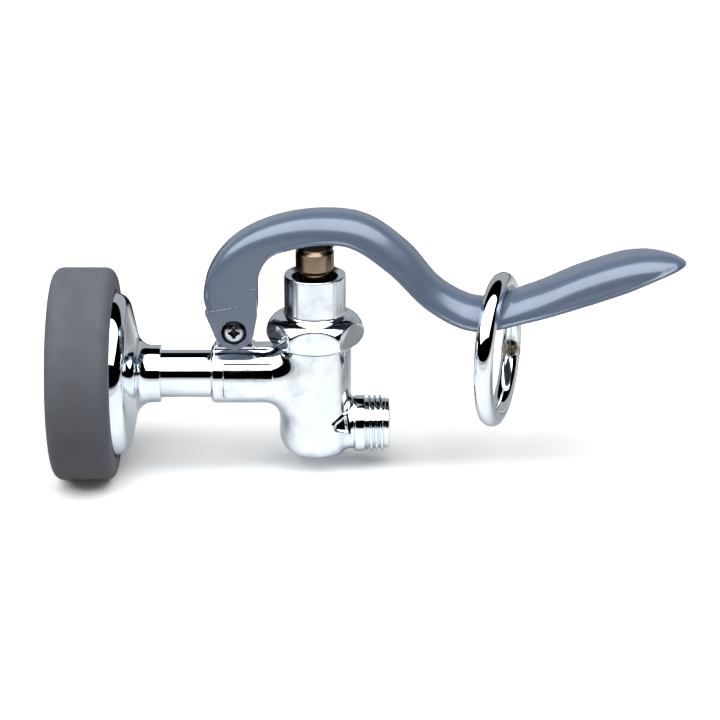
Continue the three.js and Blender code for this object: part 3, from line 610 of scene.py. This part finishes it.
def bodyField(p):
    x, y, z = p.T
    form, pad = bodyForm, padForm
    aroundBarrel, aroundArm, aroundInlet = lengthOf(x, y), lengthOf(y, z), lengthOf(y, z - hoseInlet[2])
    barrel = rodField(aroundBarrel, z, form["barrel"], form["foot"], 40, 8)
    arm = rodField(aroundArm, x, form["arm"], form["armEnd"], 0, 1.5)
    body = blendMin(barrel, arm, form["armBlend"])
    body = blendMin(body, inletField(aroundInlet, x), 2.2)
    lug = outlineField(x, z, lugOutline(lugForm["radius"], lugForm["shelf"], lugForm["reach"]))
    body = blendMin(body, plateField(lug, y, lugForm["half"], 0.5), 1.1)
    raised = np.maximum(np.abs(x - pad["x"]) - pad["halfLength"], np.abs(z - pad["z"]) - pad["halfHeight"])
    raised = blendMax(np.maximum(raised, y), aroundArm - form["arm"] - pad["proud"], 0.3)
    body = blendMin(body, raised, 0.15)
    body = blendMin(body, facetField(p, facet, -5, 0.3), 0.9)
    body = blendMax(body, -facetField(p, scaled(facet, 0.62), -1.3, 2), 0.4)
    body = blendMax(body, z - seam + 0.3, 0.8)
    body = blendMax(body, -waterField(x, z, aroundBarrel, aroundArm, aroundInlet), form["edge"])
    return blendMax(body, lugForm["hole"] - lengthOf(x - pivot[0], z - pivot[1]), 0.2)


addSkin("cast_body", bodyField, (-36, -13.6, -29.6), (26, 13.6, 24), 0.5,
        "valve", castChrome, "valve_body")
print("stage: body")

# Hose thread: a ridge wound round the inlet's root, closed within its wall so that the bore stays open
thread = {"root": 8.3, "crest": 9.45, "pitch": 1.814, "start": 16.75, "end": 23.6, "within": 7.6,
          "segments": 144, "perPitch": 12}


def makeThread(root, crest, pitch, start, end, within, segments, perPitch):
    angles = np.arange(segments) * 2 * pi / segments

    def loop(x, radius):
        across, up = radius * np.cos(angles), radius * np.sin(angles) + hoseInlet[2]
        return np.stack([np.full(segments, x), across, up], 1)

    steps = int((end - start) / pitch * perPitch)
    rings = [loop(start - 0.05, within)]
    for i in range(steps + 1):
        x = start + (end - start) * i / steps
        phase = ((x - start) / pitch - angles / (2 * pi)) % 1
        slope = np.abs(phase - 0.5) * 2
        ridge = np.clip((0.92 - slope) / 0.62, 0, 1)
        ridge = ridge * ridge * (3 - 2 * ridge) * 0.5 + ridge * 0.5
        fade = min(1, (x - start) / 0.5, (end - x) / 1.1)
        rings.append(loop(x, root + (crest - root) * ridge * max(fade, 0)))
    rings.append(loop(end + 0.05, within))
    makePiece("inlet_thread", [strip(rings, closedRow=True)], "valve", bellChrome, sharp=60)


makeThread(**thread)

# Outlet tube and spray head
tube = {"radius": 7.94, "wall": 1.2, "from": 24.6, "to": 60.2}


def makeTube():
    outer, inner = tube["radius"], tube["radius"] - tube["wall"]
    profile = rounded([(inner, tube["from"], 0.3), (outer, tube["from"], 0.4),
                       (outer, tube["to"], 0.4), (inner, tube["to"], 0.3)])
    part = turned(profile, "spray", ring=True)
    makePiece("polished_tube", [part], "valve", tubeChrome, ["outlet_tube"])


makeTube()

bell = {"neck": 9.6, "neckFace": 51.5, "fillet": 5.4, "radius": 27.25, "corner": 5.5, "slope": 14,
        "rim": 82.5, "flange": 29.8, "flangeWidth": 3.9, "seat": 79.6, "inside": 25.25, "insideCorner": 4,
        "bore": 8.09}


def arcPoints(middle, radius, start, end, steps):
    turns = [radians(start + (end - start) * i / steps) for i in range(steps + 1)]
    return [(middle[0] + radius * cos(turn), middle[1] + radius * sin(turn)) for turn in turns]


def webField(p, turn):
    # a web from the hub to the shell
    along = cos(turn) * p[:, 1] + sin(turn) * p[:, 2]
    across = -sin(turn) * p[:, 1] + cos(turn) * p[:, 2]
    flat = np.maximum(np.abs(along - 14.5) - 11.6, np.abs(across) - 1.3)
    return plateField(flat, p[:, 0] + 70.9, 3.5, 0.4)


def makeBell():
    slope = radians(bell["slope"])
    neck, fillet, corner, edge = bell["neck"], bell["fillet"], bell["corner"], bell["radius"]
    filletFrom = bell["neckFace"] + 2.7
    filletEnd = (neck + fillet * (1 - sin(slope)), filletFrom + fillet * cos(slope))
    cornerStart = edge - corner + corner * sin(slope)
    plane = filletEnd[1] + (cornerStart - filletEnd[0]) * tan(slope) + corner * cos(slope)
    profile = [(bell["bore"], 60.5), (bell["bore"], 52), (8.5, 51.6), (9.2, bell["neckFace"]),
               (neck - 0.1, 51.6), (neck, 51.9)]
    profile += arcPoints((neck + fillet, filletFrom), fillet, 180, 90 + bell["slope"], 12)
    profile += arcPoints((edge - corner, plane), corner, bell["slope"] - 90, 0, 12)
    back, rim, flange, seat = bell["rim"] - bell["flangeWidth"], bell["rim"], bell["flange"], bell["seat"]
    profile += rounded([(edge, back - 1, 0), (edge, back, 0.4), (flange, back, 0.4),
                        (flange, rim, 0.4), (edge, rim, 0.2), (edge, seat, 0.1)])[1:-5]
    inside, fillet = bell["inside"], bell["insideCorner"]
    profile += [(edge, seat), (inside, seat)]
    profile += arcPoints((inside - fillet, plane + 2), fillet, 0, -60, 6)
    profile += [(10.2, 62.5), (6.74, 62.5), (6.74, 60.5)]
    shell = turned(profile, "spray", 160, ring=True)
    hub = turned(rounded([(0, 66.7, 0), (4.5, 66.7, 0.5), (4.5, 80.7, 0.4), (1.9, 80.7, 0.1),
                          (1.9, 73.7, 0.1), (0, 73.7, 0)]), "spray", 48)
    webs = [skin(lambda p, turn=radians(turn): webField(p, turn), (-75.2, -27, -27), (-66.6, 27, 27), 0.7)
            for turn in (0, 120, 240)]
    makePiece("flared_bell", [shell, hub, *webs], "valve", bellChrome, ["spray_bell"])


makeBell()
print("stage: spray head")

bumper = {"radius": 35.6, "back": 66.6, "front": 87.3, "corner": 3.5, "bore": 28, "lip": 26,
          "groove": 30.1, "grooveBack": 78.3, "grooveFront": 82.8}


def makeBumper(radius, back, front, corner, bore, lip, groove, grooveBack, grooveFront):
    profile = rounded([(bore, back, 0.9), (radius, back, corner), (radius, front, corner), (lip, front, 1.5),
                       (lip, grooveFront, 0.2), (groove, grooveFront, 0.1), (groove, grooveBack, 0.1),
                       (bore, grooveBack, 0.2)], 8)
    part = turned(profile, "spray", 176, ring=True)
    makePiece("rubber_bumper", [part], "valve", bumperRubber, ["bumper_ring"])


makeBumper(**bumper)

face = {"radius": 27.1, "front": 82.5, "thickness": 1.5, "hole": 0.9, "rings": [(8, 6), (14, 12), (20, 18)],
        "screwHole": 1.9}
jets = [(radius * cos(turn), radius * sin(turn)) for radius, count in face["rings"]
        for turn in (2 * pi * (i + 0.2) / count for i in range(count))]


def faceField(p):
    x, y, z = p.T
    out = lengthOf(y, z)
    disc = rodField(out, -x, face["radius"], face["front"] - face["thickness"], face["front"], 0.3)
    nearest = np.min([lengthOf(y - a, z - b) for a, b in jets], axis=0)
    disc = blendMax(disc, face["hole"] - nearest, 0.35)
    return blendMax(disc, face["screwHole"] - out, 0.3)


addSkin("jet_face", faceField, (-83.6, -27.8, -27.8), (-80, 27.8, 27.8), 0.4,
        "valve", brightSteel, "spray_face", relax=1)


def flatSeal(inner, outer, low, high):
    return rounded([(inner, low, 0.2), (outer, low, 0.2), (outer, high, 0.2), (inner, high, 0.2)])


makePiece("face_gasket", [turned(flatSeal(25.4, 27.1, 79.9, 80.7), "spray", ring=True)],
          "valve", sealRubber, ["spray_face_gasket"])

# Bonnet: hexagon cut on a ball, with a round cup above
bonnetForm = {"flats": 14.25, "widest": 15.2, "reach": 16.4, "bulge": 6.4, "under": 3.8, "cup": 10.2,
              "bore": 7.6, "floor": 17.25, "dish": 0.8, "spigot": 9.65, "packing": 5.88, "stem": 3.48}


def bonnetField(p):
    form = bonnetForm
    x, y, z = p.T
    out = lengthOf(x, y)
    rise = z - form["widest"]
    arc = np.where(rise < 0, form["under"], form["bulge"])
    ball = lengthOf(np.maximum(out - form["reach"] + arc, 0), rise) - arc
    nut = blendMax(blendMax(ball, hexagonField(x, y, form["flats"], 30), 0.45), seam - z, 0.6)
    body = blendMin(nut, rodField(out, z, form["cup"], 14, cupTop, 0.5), 1.3)
    body = blendMin(body, rodField(out, z, form["spigot"], seam - 5.3, 16, 0.4), 0.2)
    rim = (z - cupTop + form["dish"]) * (form["cup"] - 0.4 - form["bore"]) / form["dish"]
    flare = np.maximum(out - form["bore"] - np.maximum(rim, 0), form["floor"] - z)
    body = blendMax(body, -flare, 0.5)
    body = blendMax(body, -rodField(out, z, form["packing"], 12, 20, 0.2), 0.2)
    return blendMax(body, form["stem"] - out, 0.2)


addSkin("hex_bonnet", bonnetField, (-17.4, -17.4, 5.4), (17.4, 17.4, 36.6), 0.45,
        "valve", bonnetChrome, "bonnet")
print("stage: bonnet")

# Plunger cap
cap = {"radius": 6.35, "foot": 5, "bottom": 33, "step": 3.2, "groove": 44.5, "depth": 0.75}


def makeCap(radius, foot, bottom, step, groove, depth):
    floor = radius - depth
    profile = rounded([(0, bottom, 0), (foot, bottom, 0.4), (foot, bottom + step, 0.2),
                       (radius, bottom + step + radius - foot, 0.4), (radius, groove - 1.25, 0.15),
                       (floor, groove, 0.1), (floor, groove + 0.3, 0.1), (radius, groove + 0.6, 0.1),
                       (radius, capTop - 0.6, 0.5), (radius - 1.2, capTop, 0.5), (0, capTop, 0)])
    makePiece("push_cap", [turned(profile, "up", 96)], "plunger", capBronze, ["plunger_cap"])


makeCap(**cap)

# Lever: crest x z, lip x z, half width, squareness of the section
leverRows = [
    (-36, 24.4, -19.1, 22, 8, 5), (-36.8, 28.8, -19.1, 28, 8, 4.6), (-34.5, 38, -18, 38, 8, 4),
    (-26.9, 47.8, -14.5, 43.7, 8.4, 3.3), (-14.9, 54.4, -6.9, 46.7, 9, 2.8), (1.2, 57.5, 3.2, 48.4, 9.6, 2.5),
    (17.1, 55.6, 11.9, 47.4, 10, 2.4), (31.4, 45.3, 23.8, 39.3, 10.2, 2.4),
    (42.7, 32.6, 37.5, 25.8, 10.3, 2.2), (55.6, 26.9, 52.1, 18.8, 10.4, 2.1),
    (72, 31.2, 70.3, 22, 10.7, 2.35), (88, 37.7, 88, 27.5, 11.2, 2.9), (101.5, 42, 101.5, 32.2, 11.3, 2.9),
    (109.3, 43, 109.3, 35.2, 10.4, 2.6), (115, 42.6, 115, 37.1, 8.6, 2.1), (118.9, 41.6, 118.9, 38.1, 6.2, 2),
    (121.4, 40.3, 121.4, 38.7, 3.4, 2), (122.3, 39.6, 122.3, 39, 1.6, 2),
]
lever = {"wall": 2.4, "bead": 0.45, "rim": 1.1, "stations": 180}
ears = {"middle": 5.9, "half": 2.22, "radius": 6.7, "hole": 2.15, "headRoom": 4.15, "headFloor": -6,
        "nutFlats": 3.65, "nutFloor": 5.9}
nose = {"x": -2.5, "radius": 3, "above": 1.4, "half": 6.6, "gap": 0.3}


def curveThrough(rows, share):
    # centripetal Catmull-Rom, as in the solid
    rows = [np.array(row, float) for row in rows]
    spot = share * (len(rows) - 1)
    i = min(int(spot), len(rows) - 2)
    w = spot - i
    p1, p2 = rows[i], rows[i + 1]
    p0 = rows[i - 1] if i > 0 else 2 * rows[0] - rows[1]
    p3 = rows[i + 2] if i + 2 < len(rows) else 2 * rows[-1] - rows[-2]
    gaps = [max(np.linalg.norm(b - a), 1e-8) ** 0.5 for a, b in ((p0, p1), (p1, p2), (p2, p3))]
    t1 = ((p1 - p0) / gaps[0] - (p2 - p0) / (gaps[0] + gaps[1]) + (p2 - p1) / gaps[1]) * gaps[1]
    t2 = ((p2 - p1) / gaps[1] - (p3 - p1) / (gaps[1] + gaps[2]) + (p3 - p2) / gaps[2]) * gaps[1]
    return p1 + t1 * w + (-3 * p1 + 3 * p2 - 2 * t1 - t2) * w * w + (2 * p1 - 2 * p2 + t1 + t2) * w ** 3


def smoothStep(x, low, high):
    x = np.clip((x - low) / (high - low), 0, 1)
    return x * x * (3 - 2 * x)


def leverCurve(first, share):
    return curveThrough([row[first:first + 2] for row in leverRows], share)


def leverSection(share):
    crest, lip = leverCurve(0, share), leverCurve(2, share)
    half, square = leverCurve(4, share)
    depth = np.linalg.norm(crest - lip)
    rise = (crest - lip) / depth
    wall = min(lever["wall"], 0.42 * depth, 0.45 * half)
    bead = lever["bead"] * smoothStep(share, 0.12, 0.2) * min(1, half / 8)
    quarter = np.concatenate([[0, 0.012, 0.028, 0.05, 0.08, 0.12, 0.17], np.linspace(0.24, pi / 2, 13)])
    angles = np.concatenate([quarter, pi - quarter[-2::-1]])

    def dome(halfHere, depthHere, beadHere):
        side = np.sign(np.cos(angles)) * np.abs(np.cos(angles)) ** (2 / square)
        height = np.sin(angles) ** (2 / square) * depthHere
        swell = beadHere * (1 - smoothStep(height, 0.6 * lever["rim"], 1.5 * lever["rim"]))
        return halfHere * side + np.sign(side) * swell, height

    outY, outH = dome(half, depth, bead)
    inY, inH = dome(half - wall, depth - wall, 0)
    edge = min(0.35, wall / 4)
    y = np.concatenate([[half + bead - edge], outY[1:-1], [-half - bead + edge],
                        [-half + wall + edge], inY[::-1][1:-1], [half - wall - edge]])
    h = np.concatenate([[0], np.maximum(outH[1:-1], edge * 0.6), [0],
                        [0], np.maximum(inH[::-1][1:-1], edge * 0.6), [0]])
    return np.stack([lip[0] + rise[0] * h, y, lip[1] + rise[1] * h], 1)


def earField(p, side):
    x, y, z = p[:, 0] - pivot[0], p[:, 1], p[:, 2] - pivot[1]
    radius = ears["radius"]
    turns = [radians(a) for a in range(195, 346, 10)]
    outline = [(7.6, 15.3), (4.6, 15.3), (4.4, 10), (-9.6, 7.1)]
    outline += [(radius * cos(turn), 0.8 + radius * sin(turn)) for turn in turns] + [(7.7, 5.8)]
    ear = plateField(outlineField(x, z, outline), y - side * ears["middle"], ears["half"], 0.2)
    out = lengthOf(x, z)
    ear = blendMax(ear, ears["hole"] - out, 0.15)
    if side < 0:
        # counterbore for the screw's head
        return blendMax(ear, -np.maximum(out - ears["headRoom"], y - ears["headFloor"]), 0.3)
    pocket = np.maximum(hexagonField(x, z, ears["nutFlats"]), ears["nutFloor"] - y)
    return blendMax(ear, -pocket, 0.2)


def makeLever():
    shell = strip([leverSection(share) for share in np.linspace(0, 1, lever["stations"])], caps=True)
    plates = [skin(lambda p, side=side: earField(p, side), (-38, low, 9.8), (-17.6, high, 34), 0.4)
              for side, low, high in ((-1, -9, -3), (1, 3, 9))]
    noseMiddle = capTop + nose["gap"] + nose["radius"]

    def noseField(p):
        x, y, z = p.T
        rod = lengthOf(x - nose["x"], z - noseMiddle) - nose["radius"]
        return plateField(np.maximum(rod, z - noseMiddle - nose["above"]), y, nose["half"], 0.4)

    rod = skin(noseField, (-6.4, -7.4, 50), (1.4, 7.4, 56), 0.4)
    shares = np.linspace(0, 1, 400)
    crests, lips = (np.array([leverCurve(first, share) for share in shares]) for first in (0, 2))
    depths = np.linalg.norm(crests - lips, axis=1)

    def inside(middles, normals):
        # faces of the channel that look towards the line between its lips; these take the painted shade
        flat = middles[:, [0, 2]]
        near = np.linalg.norm(flat[:, None] - crests * 0.4 - lips * 0.6, axis=2).argmin(1)
        away = np.linalg.norm(flat[:, None] - crests, axis=2).min(1)
        towards = np.stack([lips[near, 0] - flat[:, 0], -middles[:, 1], lips[near, 1] - flat[:, 1]], 1)
        within = (np.abs(middles[:, 1]) < 6.6) & (depths[near] > 7) & (away > 1.5)
        nosed = np.linalg.norm(flat - np.array([nose["x"], noseMiddle]), axis=1) < 5.5
        return (np.sum(normals * towards, 1) > 0) & within & ~nosed

    makePiece("squeeze_lever", [shell, *plates, rod], "squeeze_lever", coating, ["lever"],
              sharp=50, second=(leverPaintedShade, inside))


makeLever()
print("stage: lever")

# Pivot screw and nut
screwForm = {"shank": 2, "tip": 9.9, "head": 3.85, "under": -6.3, "top": -9, "dome": 7.4, "floor": -6.5,
             "slot": 0.5, "reach": 1.4, "taper": 0.3}
nutForm = {"flats": 3.5, "middle": 7.8, "half": 1.6, "hole": 2.15}


def screwField(p):
    form = screwForm
    x, y, z = p[:, 0] - pivot[0], p[:, 1], p[:, 2] - pivot[1]
    out = lengthOf(x, z)
    dome = lengthOf(out, y + 8.6 - form["dome"]) - form["dome"]
    head = blendMax(rodField(out, y, form["head"], form["top"], form["under"], 0.5), dome, 0.4)
    screw = blendMin(rodField(out, y, form["shank"], -7, form["tip"], 0.3), head, 0.2)
    depth = np.maximum(form["floor"] - y, 0) * form["taper"]
    arms = np.minimum(np.maximum(np.abs(x) - form["slot"], np.abs(z) - form["reach"] - depth),
                      np.maximum(np.abs(z) - form["slot"], np.abs(x) - form["reach"] - depth))
    recess = np.maximum(blendMin(arms, out - 0.7 - depth, 0.3), y - form["floor"])
    return blendMax(screw, -recess, 0.15)


def nutField(p):
    x, y, z = p[:, 0] - pivot[0], p[:, 1] - nutForm["middle"], p[:, 2] - pivot[1]
    out = lengthOf(x, z)
    nut = plateField(hexagonField(x, z, nutForm["flats"]), y, nutForm["half"], 0.15)
    nut = blendMax(nut, out + np.abs(y) * 1.7 - 6.1, 0.2)
    return blendMax(nut, nutForm["hole"] - out - np.maximum(np.abs(y) - 1.2, 0), 0.15)


fasteners = [("cross_screw", screwField, (-31.3, -9.6, 12.8), (-22.1, 10.6, 22), "pivot_screw", screwSteel),
             ("lock_nut", nutField, (-31.6, 5.4, 12.6), (-21.8, 10, 22.2), "pivot_nut", brightSteel)]
for name, field, low, high, node, material in fasteners:
    addSkin(name, field, low, high, 0.2, "squeeze_lever", material, node)

# Hold-down ring, brazed shut at its joint
ringForm = {"middle": (60.891, 0, 31.418), "outer": 25.9, "wire": 3.175, "yaw": -15, "joint": 200}
brazeLook = {"colour": (0.52, 0.38, 0.2, 1), "from": 0.0045, "to": 0.0062, "ragged": 0.0035, "rougher": 0.3}


def makeRing(middle, outer, wire, yaw, joint):
    around, across = 180, 40
    big = outer - wire
    turn = radians(yaw)

    def turnedTo(x, y, z):
        return [middle[0] + x * cos(turn) - y * sin(turn),
                x * sin(turn) + y * cos(turn), middle[2] + z]

    rings = []
    for i in range(around):
        a = 2 * pi * i / around
        bead = 1 + 0.035 * exp(-(((degrees(a) - joint + 180) % 360 - 180) / 3.2) ** 2)
        b = np.arange(across) * 2 * pi / across
        radius = big + wire * bead * np.cos(b)
        ring = turnedTo(wire * bead * np.sin(b), -radius * cos(a), radius * sin(a) - big)
        rings.append(np.stack(ring, 1))
    a = radians(joint)
    material = ringMaterial(turnedTo(0, -big * cos(a), big * sin(a) - big), brazeLook)
    makePiece("wire_ring", [strip(rings, closedRow=True)], "ring", material, ["hold_ring"])


def ringMaterial(joint, look):
    # plating with a rough bronze seam round the joint
    material, tree, shader, coords, film = startMaterial("ringChrome", chromeLook, metallic)
    spot = tuple(place(joint))
    away = addNode(tree, "ShaderNodeVectorMath", {0: coords, 1: spot}, operation="DISTANCE").outputs["Value"]
    mottle = rippled(tree, coords, 1.2, 3.0)
    reach = mathNode(tree, "ADD", away, times(tree, mottle, look["ragged"]))
    braze = spread(tree, reach, look["from"], look["to"], 1.0, 0.0)
    plating = mixColour(tree, film["Mask"], chromeLook["colour"], chromeLook["shade"])
    colour = mixColour(tree, braze, plating, look["colour"])
    rough = mathNode(tree, "MULTIPLY_ADD", braze, look["rougher"], film["Roughness"])
    joinShader(tree, shader, colour, rough, times(tree, mottle, braze), 0.15)
    return material


makeRing(**ringForm)
print("stage: ring")

# Pieces inside the valve: round seals by radius, section and height, flat seals by body, radii and heights
roundSeals = {
    "stem_ring_lower": (4.525, 2.4, 13.35), "stem_ring_upper": (4.525, 2.4, 15.9),
    "seat_ring": (9.0, 1.3, -10.8),
}
flatSeals = {
    "bonnet_gasket": ("valve", 9.8, 10.75, 10.4, 11.3), "seat_washer": ("plunger", 1.65, 6.6, -14.1, -11.1),
}


def makeSeal(name, node, body, profile):
    makePiece(name, [turned(profile, "up", 64, ring=True)], body, sealRubber, [node])


for name, (radius, section, height) in roundSeals.items():
    makeSeal(name + "_round", name, "valve", arcPoints((radius, height), section / 2, 0, 342, 19))
for name, (body, *sizes) in flatSeals.items():
    makeSeal(name + "_ring", name, body, flatSeal(*sizes))


def smoothGroup(limit):
    # smooth shading that stops at edges sharper than the limit
    group = bpy.data.node_groups.new("smoothFaces", "GeometryNodeTree")
    for way in ("INPUT", "OUTPUT"):
        group.interface.new_socket(name="Geometry", in_out=way, socket_type="NodeSocketGeometry")
    entry, leave = group.nodes.new("NodeGroupInput"), group.nodes.new("NodeGroupOutput")
    angle = addNode(group, "GeometryNodeInputMeshEdgeAngle").outputs["Unsigned Angle"]
    soft = addNode(group, "FunctionNodeCompare", {0: angle, 1: radians(limit)}, operation="LESS_THAN")
    faces = addNode(group, "GeometryNodeSetShadeSmooth", {"Geometry": entry.outputs[0]}, domain="FACE")
    inputs = {"Geometry": faces.outputs[0], "Shade Smooth": soft.outputs[0]}
    edges = addNode(group, "GeometryNodeSetShadeSmooth", inputs, domain="EDGE")
    group.links.new(edges.outputs[0], leave.inputs[0])
    return group


smoothFaces = smoothGroup(40)
keptNodes = [(innerBrass, ("valve_seat", "packing_nut", "packing_washer", "valve_stem", "washer_retainer")),
             (brightSteel, ("washer_screw", "spray_face_screw"))]
for material, names in keptNodes:
    for name in names:
        nodes[name].data.materials.clear()
        nodes[name].data.materials.append(material)
        nodes[name].modifiers.new("smooth", "NODES").node_group = smoothFaces

spring = {"wire": 0.5, "radius": 4.3, "low": -25.1, "high": -16.4, "coils": 3}


def makeSpring(wire, radius, low, high, coils):
    steps = coils * 40
    b = np.arange(16) * pi / 8
    out = radius + wire * np.cos(b)
    rings = []
    for i in range(steps + 1):
        turn = 2 * pi * coils * i / steps
        height = low + (high - low) * i / steps + wire * np.sin(b)
        rings.append(np.stack([out * cos(turn), out * sin(turn), height], 1))
    part = strip(rings, caps=True)
    piece = makePiece("coil_spring", [part], "valve", brightSteel, ["return_spring"], sharp=60)
    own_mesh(piece)


makeSpring(**spring)
print("stage: inner pieces")

# Studio: the valve lies on white paper under a wide softbox, and only its rubber ring touches the paper
studio = {"colour": (1.72, 1.7, 1.67, 1), "mirrored": (1.09, 1.125, 1.16, 1), "reflectedShade": (0.02, 0.021, 0.024, 1),
          "bounce": 0.27, "lift": 0.03, "size": 3500}
room = (0.93, 0.99, 1.06, 1)  # tint of what the plating reflects
paperLine = [(-69.9, -35.64), (50, -32.9)]  # x and z of the paper below the rubber ring and the pressed ring
# zones of the paper that only the plating shows, painted dark as shade in its reflections: its near edge, its
# end at the left and behind, and a greyer room on the right
zones = {"near": (-0.305, -0.303), "far": (-0.294, -0.292), "left": (-0.17, -0.115), "behind": (-0.02, 0.02),
         "end": (-0.45, -0.3), "right": (0.02, 0.11), "farRight": (0.12, 0.16), "greyBehind": (-0.05, 0.0),
         "front": (-0.26, -0.13)}


def makeFloor(colour, mirrored, reflectedShade, bounce, lift, size):
    (x0, z0), (x1, z1) = paperLine
    slope = (z1 - z0) / (x1 - x0)
    square = ((-size, -size), (size, -size), (size, size), (-size, size))
    corners = [(x, y, z0 + slope * (x - x0)) for x, y in square]
    mesh = bpy.data.meshes.new("floor")
    mesh.from_pydata(place(corners).tolist(), [], [[0, 1, 2, 3]])
    plane = bpy.data.objects.new("floor", mesh)
    scene.collection.objects.link(plane)
    material, tree = newMaterial("studioPaper")
    tree.nodes.clear()
    path = tree.nodes.new("ShaderNodeLightPath").outputs
    coords = tree.nodes.new("ShaderNodeTexCoord").outputs["Object"]
    across, along = partOf(tree, coords, "X"), partOf(tree, coords, "Y")

    def zone(value, name, toLow=0.0, toHigh=1.0, smooth=True):
        return spread(tree, value, *zones[name], toLow, toHigh, smooth=smooth)

    seen = times(tree, zone(along, "near", smooth=False), zone(along, "far", 1.0, 0.0, smooth=False))
    unlit = zone(mathNode(tree, "MULTIPLY_ADD", along, -0.5, across), "left", 1.0, 0.0)
    unlit = times(tree, unlit, zone(along, "behind", smooth=False))
    unlit = times(tree, unlit, zone(across, "end", smooth=False))
    rightwards = mathNode(tree, "MULTIPLY_ADD", along, 0.35, across)
    grey = times(tree, zone(rightwards, "right", 0.0, 0.66), zone(rightwards, "farRight", 1.0, 0.35))
    grey = times(tree, grey, zone(along, "greyBehind"))
    for part in (unlit, grey, zone(along, "front", 0.3, 0.0)):
        seen = larger(tree, seen, part)
    # painted shade: mirrors see these zones of the paper dark, where the camera sees white
    shown = mixColour(tree, seen, mirrored, reflectedShade)
    paper = mixColour(tree, path["Is Glossy Ray"], colour, shown)
    dim = tuple(bounce * part for part in colour[:3]) + (1,)
    paper = mixColour(tree, path["Is Diffuse Ray"], paper, dim)
    diffuse = addNode(tree, "ShaderNodeBsdfDiffuse", {"Color": paper})
    # the paper glows for the camera only, a painted brightening that grows away from the valve, so the camera
    # sees its shadow near it
    away = addNode(tree, "ShaderNodeVectorMath", {0: coords}, operation="LENGTH").outputs["Value"]
    fade = spread(tree, away, 0.16, 0.6, lift, 0.9)
    strength = times(tree, path["Is Camera Ray"], fade)
    glow = addNode(tree, "ShaderNodeEmission", {"Color": (1, 1, 1, 1), "Strength": strength})
    both = addNode(tree, "ShaderNodeAddShader", {0: diffuse.outputs[0], 1: glow.outputs[0]})
    addNode(tree, "ShaderNodeOutputMaterial", {"Surface": both.outputs[0]})
    mesh.materials.append(material)


makeFloor(**studio)

# The softbox's edges, as x and y for each unit of height over a point, each with the width of its soft rim
softbox = {"left": -2.2, "right": 1.15, "front": -1.48, "back": 0.25}
rims = {"left": 0.1, "right": 0.05, "front": 0.05, "back": 0.03}


def makeWorld(plain, bright, dim):
    world = bpy.data.worlds.new("studioRoom")
    scene.world = world
    world.use_nodes = True
    tree = world.node_tree
    tree.nodes.clear()
    path = tree.nodes.new("ShaderNodeLightPath").outputs
    coords = tree.nodes.new("ShaderNodeTexCoord").outputs["Generated"]
    x, y, z = (partOf(tree, coords, axis) for axis in "XYZ")
    up = larger(tree, z, 0.001)
    box = bright
    for value, sides in ((x, ("left", "right")), (y, ("front", "back"))):
        lean = mathNode(tree, "DIVIDE", value, up)
        for side, ends in zip(sides, ((0.0, 1.0), (1.0, 0.0))):
            low, high = softbox[side] - rims[side], softbox[side] + rims[side]
            box = times(tree, spread(tree, lean, low, high, *ends), box)
    behind = mathNode(tree, "SUBTRACT", times(tree, y, 0.75), z)
    backdrop = times(tree, spread(tree, behind, -0.04, 0.04), dim)
    below = times(tree, spread(tree, z, 0.01, 0.0), 0.85)
    around = larger(tree, larger(tree, backdrop, below), box)
    # mirrors see the softbox and backdrop, the camera sees white, and other rays see a plain low light
    mirror = larger(tree, path["Is Glossy Ray"], path["Is Transmission Ray"])
    seen = times(tree, mirror, around)
    soft = times(tree, mathNode(tree, "SUBTRACT", 1.0, mirror), plain)
    direct = times(tree, path["Is Camera Ray"], 1.2)
    strength = larger(tree, mathNode(tree, "ADD", seen, soft), direct)
    background = addNode(tree, "ShaderNodeBackground", {"Color": room, "Strength": strength})
    addNode(tree, "ShaderNodeOutputWorld", {"Surface": background.outputs[0]})


makeWorld(plain=0.055, bright=4.2, dim=0.42)


def makeLamp(height, power, front, back):
    data = bpy.data.lights.new("softbox", "AREA")
    data.shape = "RECTANGLE"
    data.size = (softbox["right"] - softbox["left"]) * height * 0.001
    data.size_y = (back - front) * height * 0.001
    data.energy = power
    lamp = bpy.data.objects.new("softbox", data)
    middle = ((softbox["left"] + softbox["right"]) / 2, (front + back) / 2)
    lamp.location = place([(middle[0] * height, middle[1] * height, height)])[0]
    lamp.visible_glossy = False
    scene.collection.objects.link(lamp)


makeLamp(height=700, power=14.5, front=-1.15, back=0.12)

scene.view_settings.view_transform = "Standard"
bpy.context.view_layer.update()
print("stage: studio")
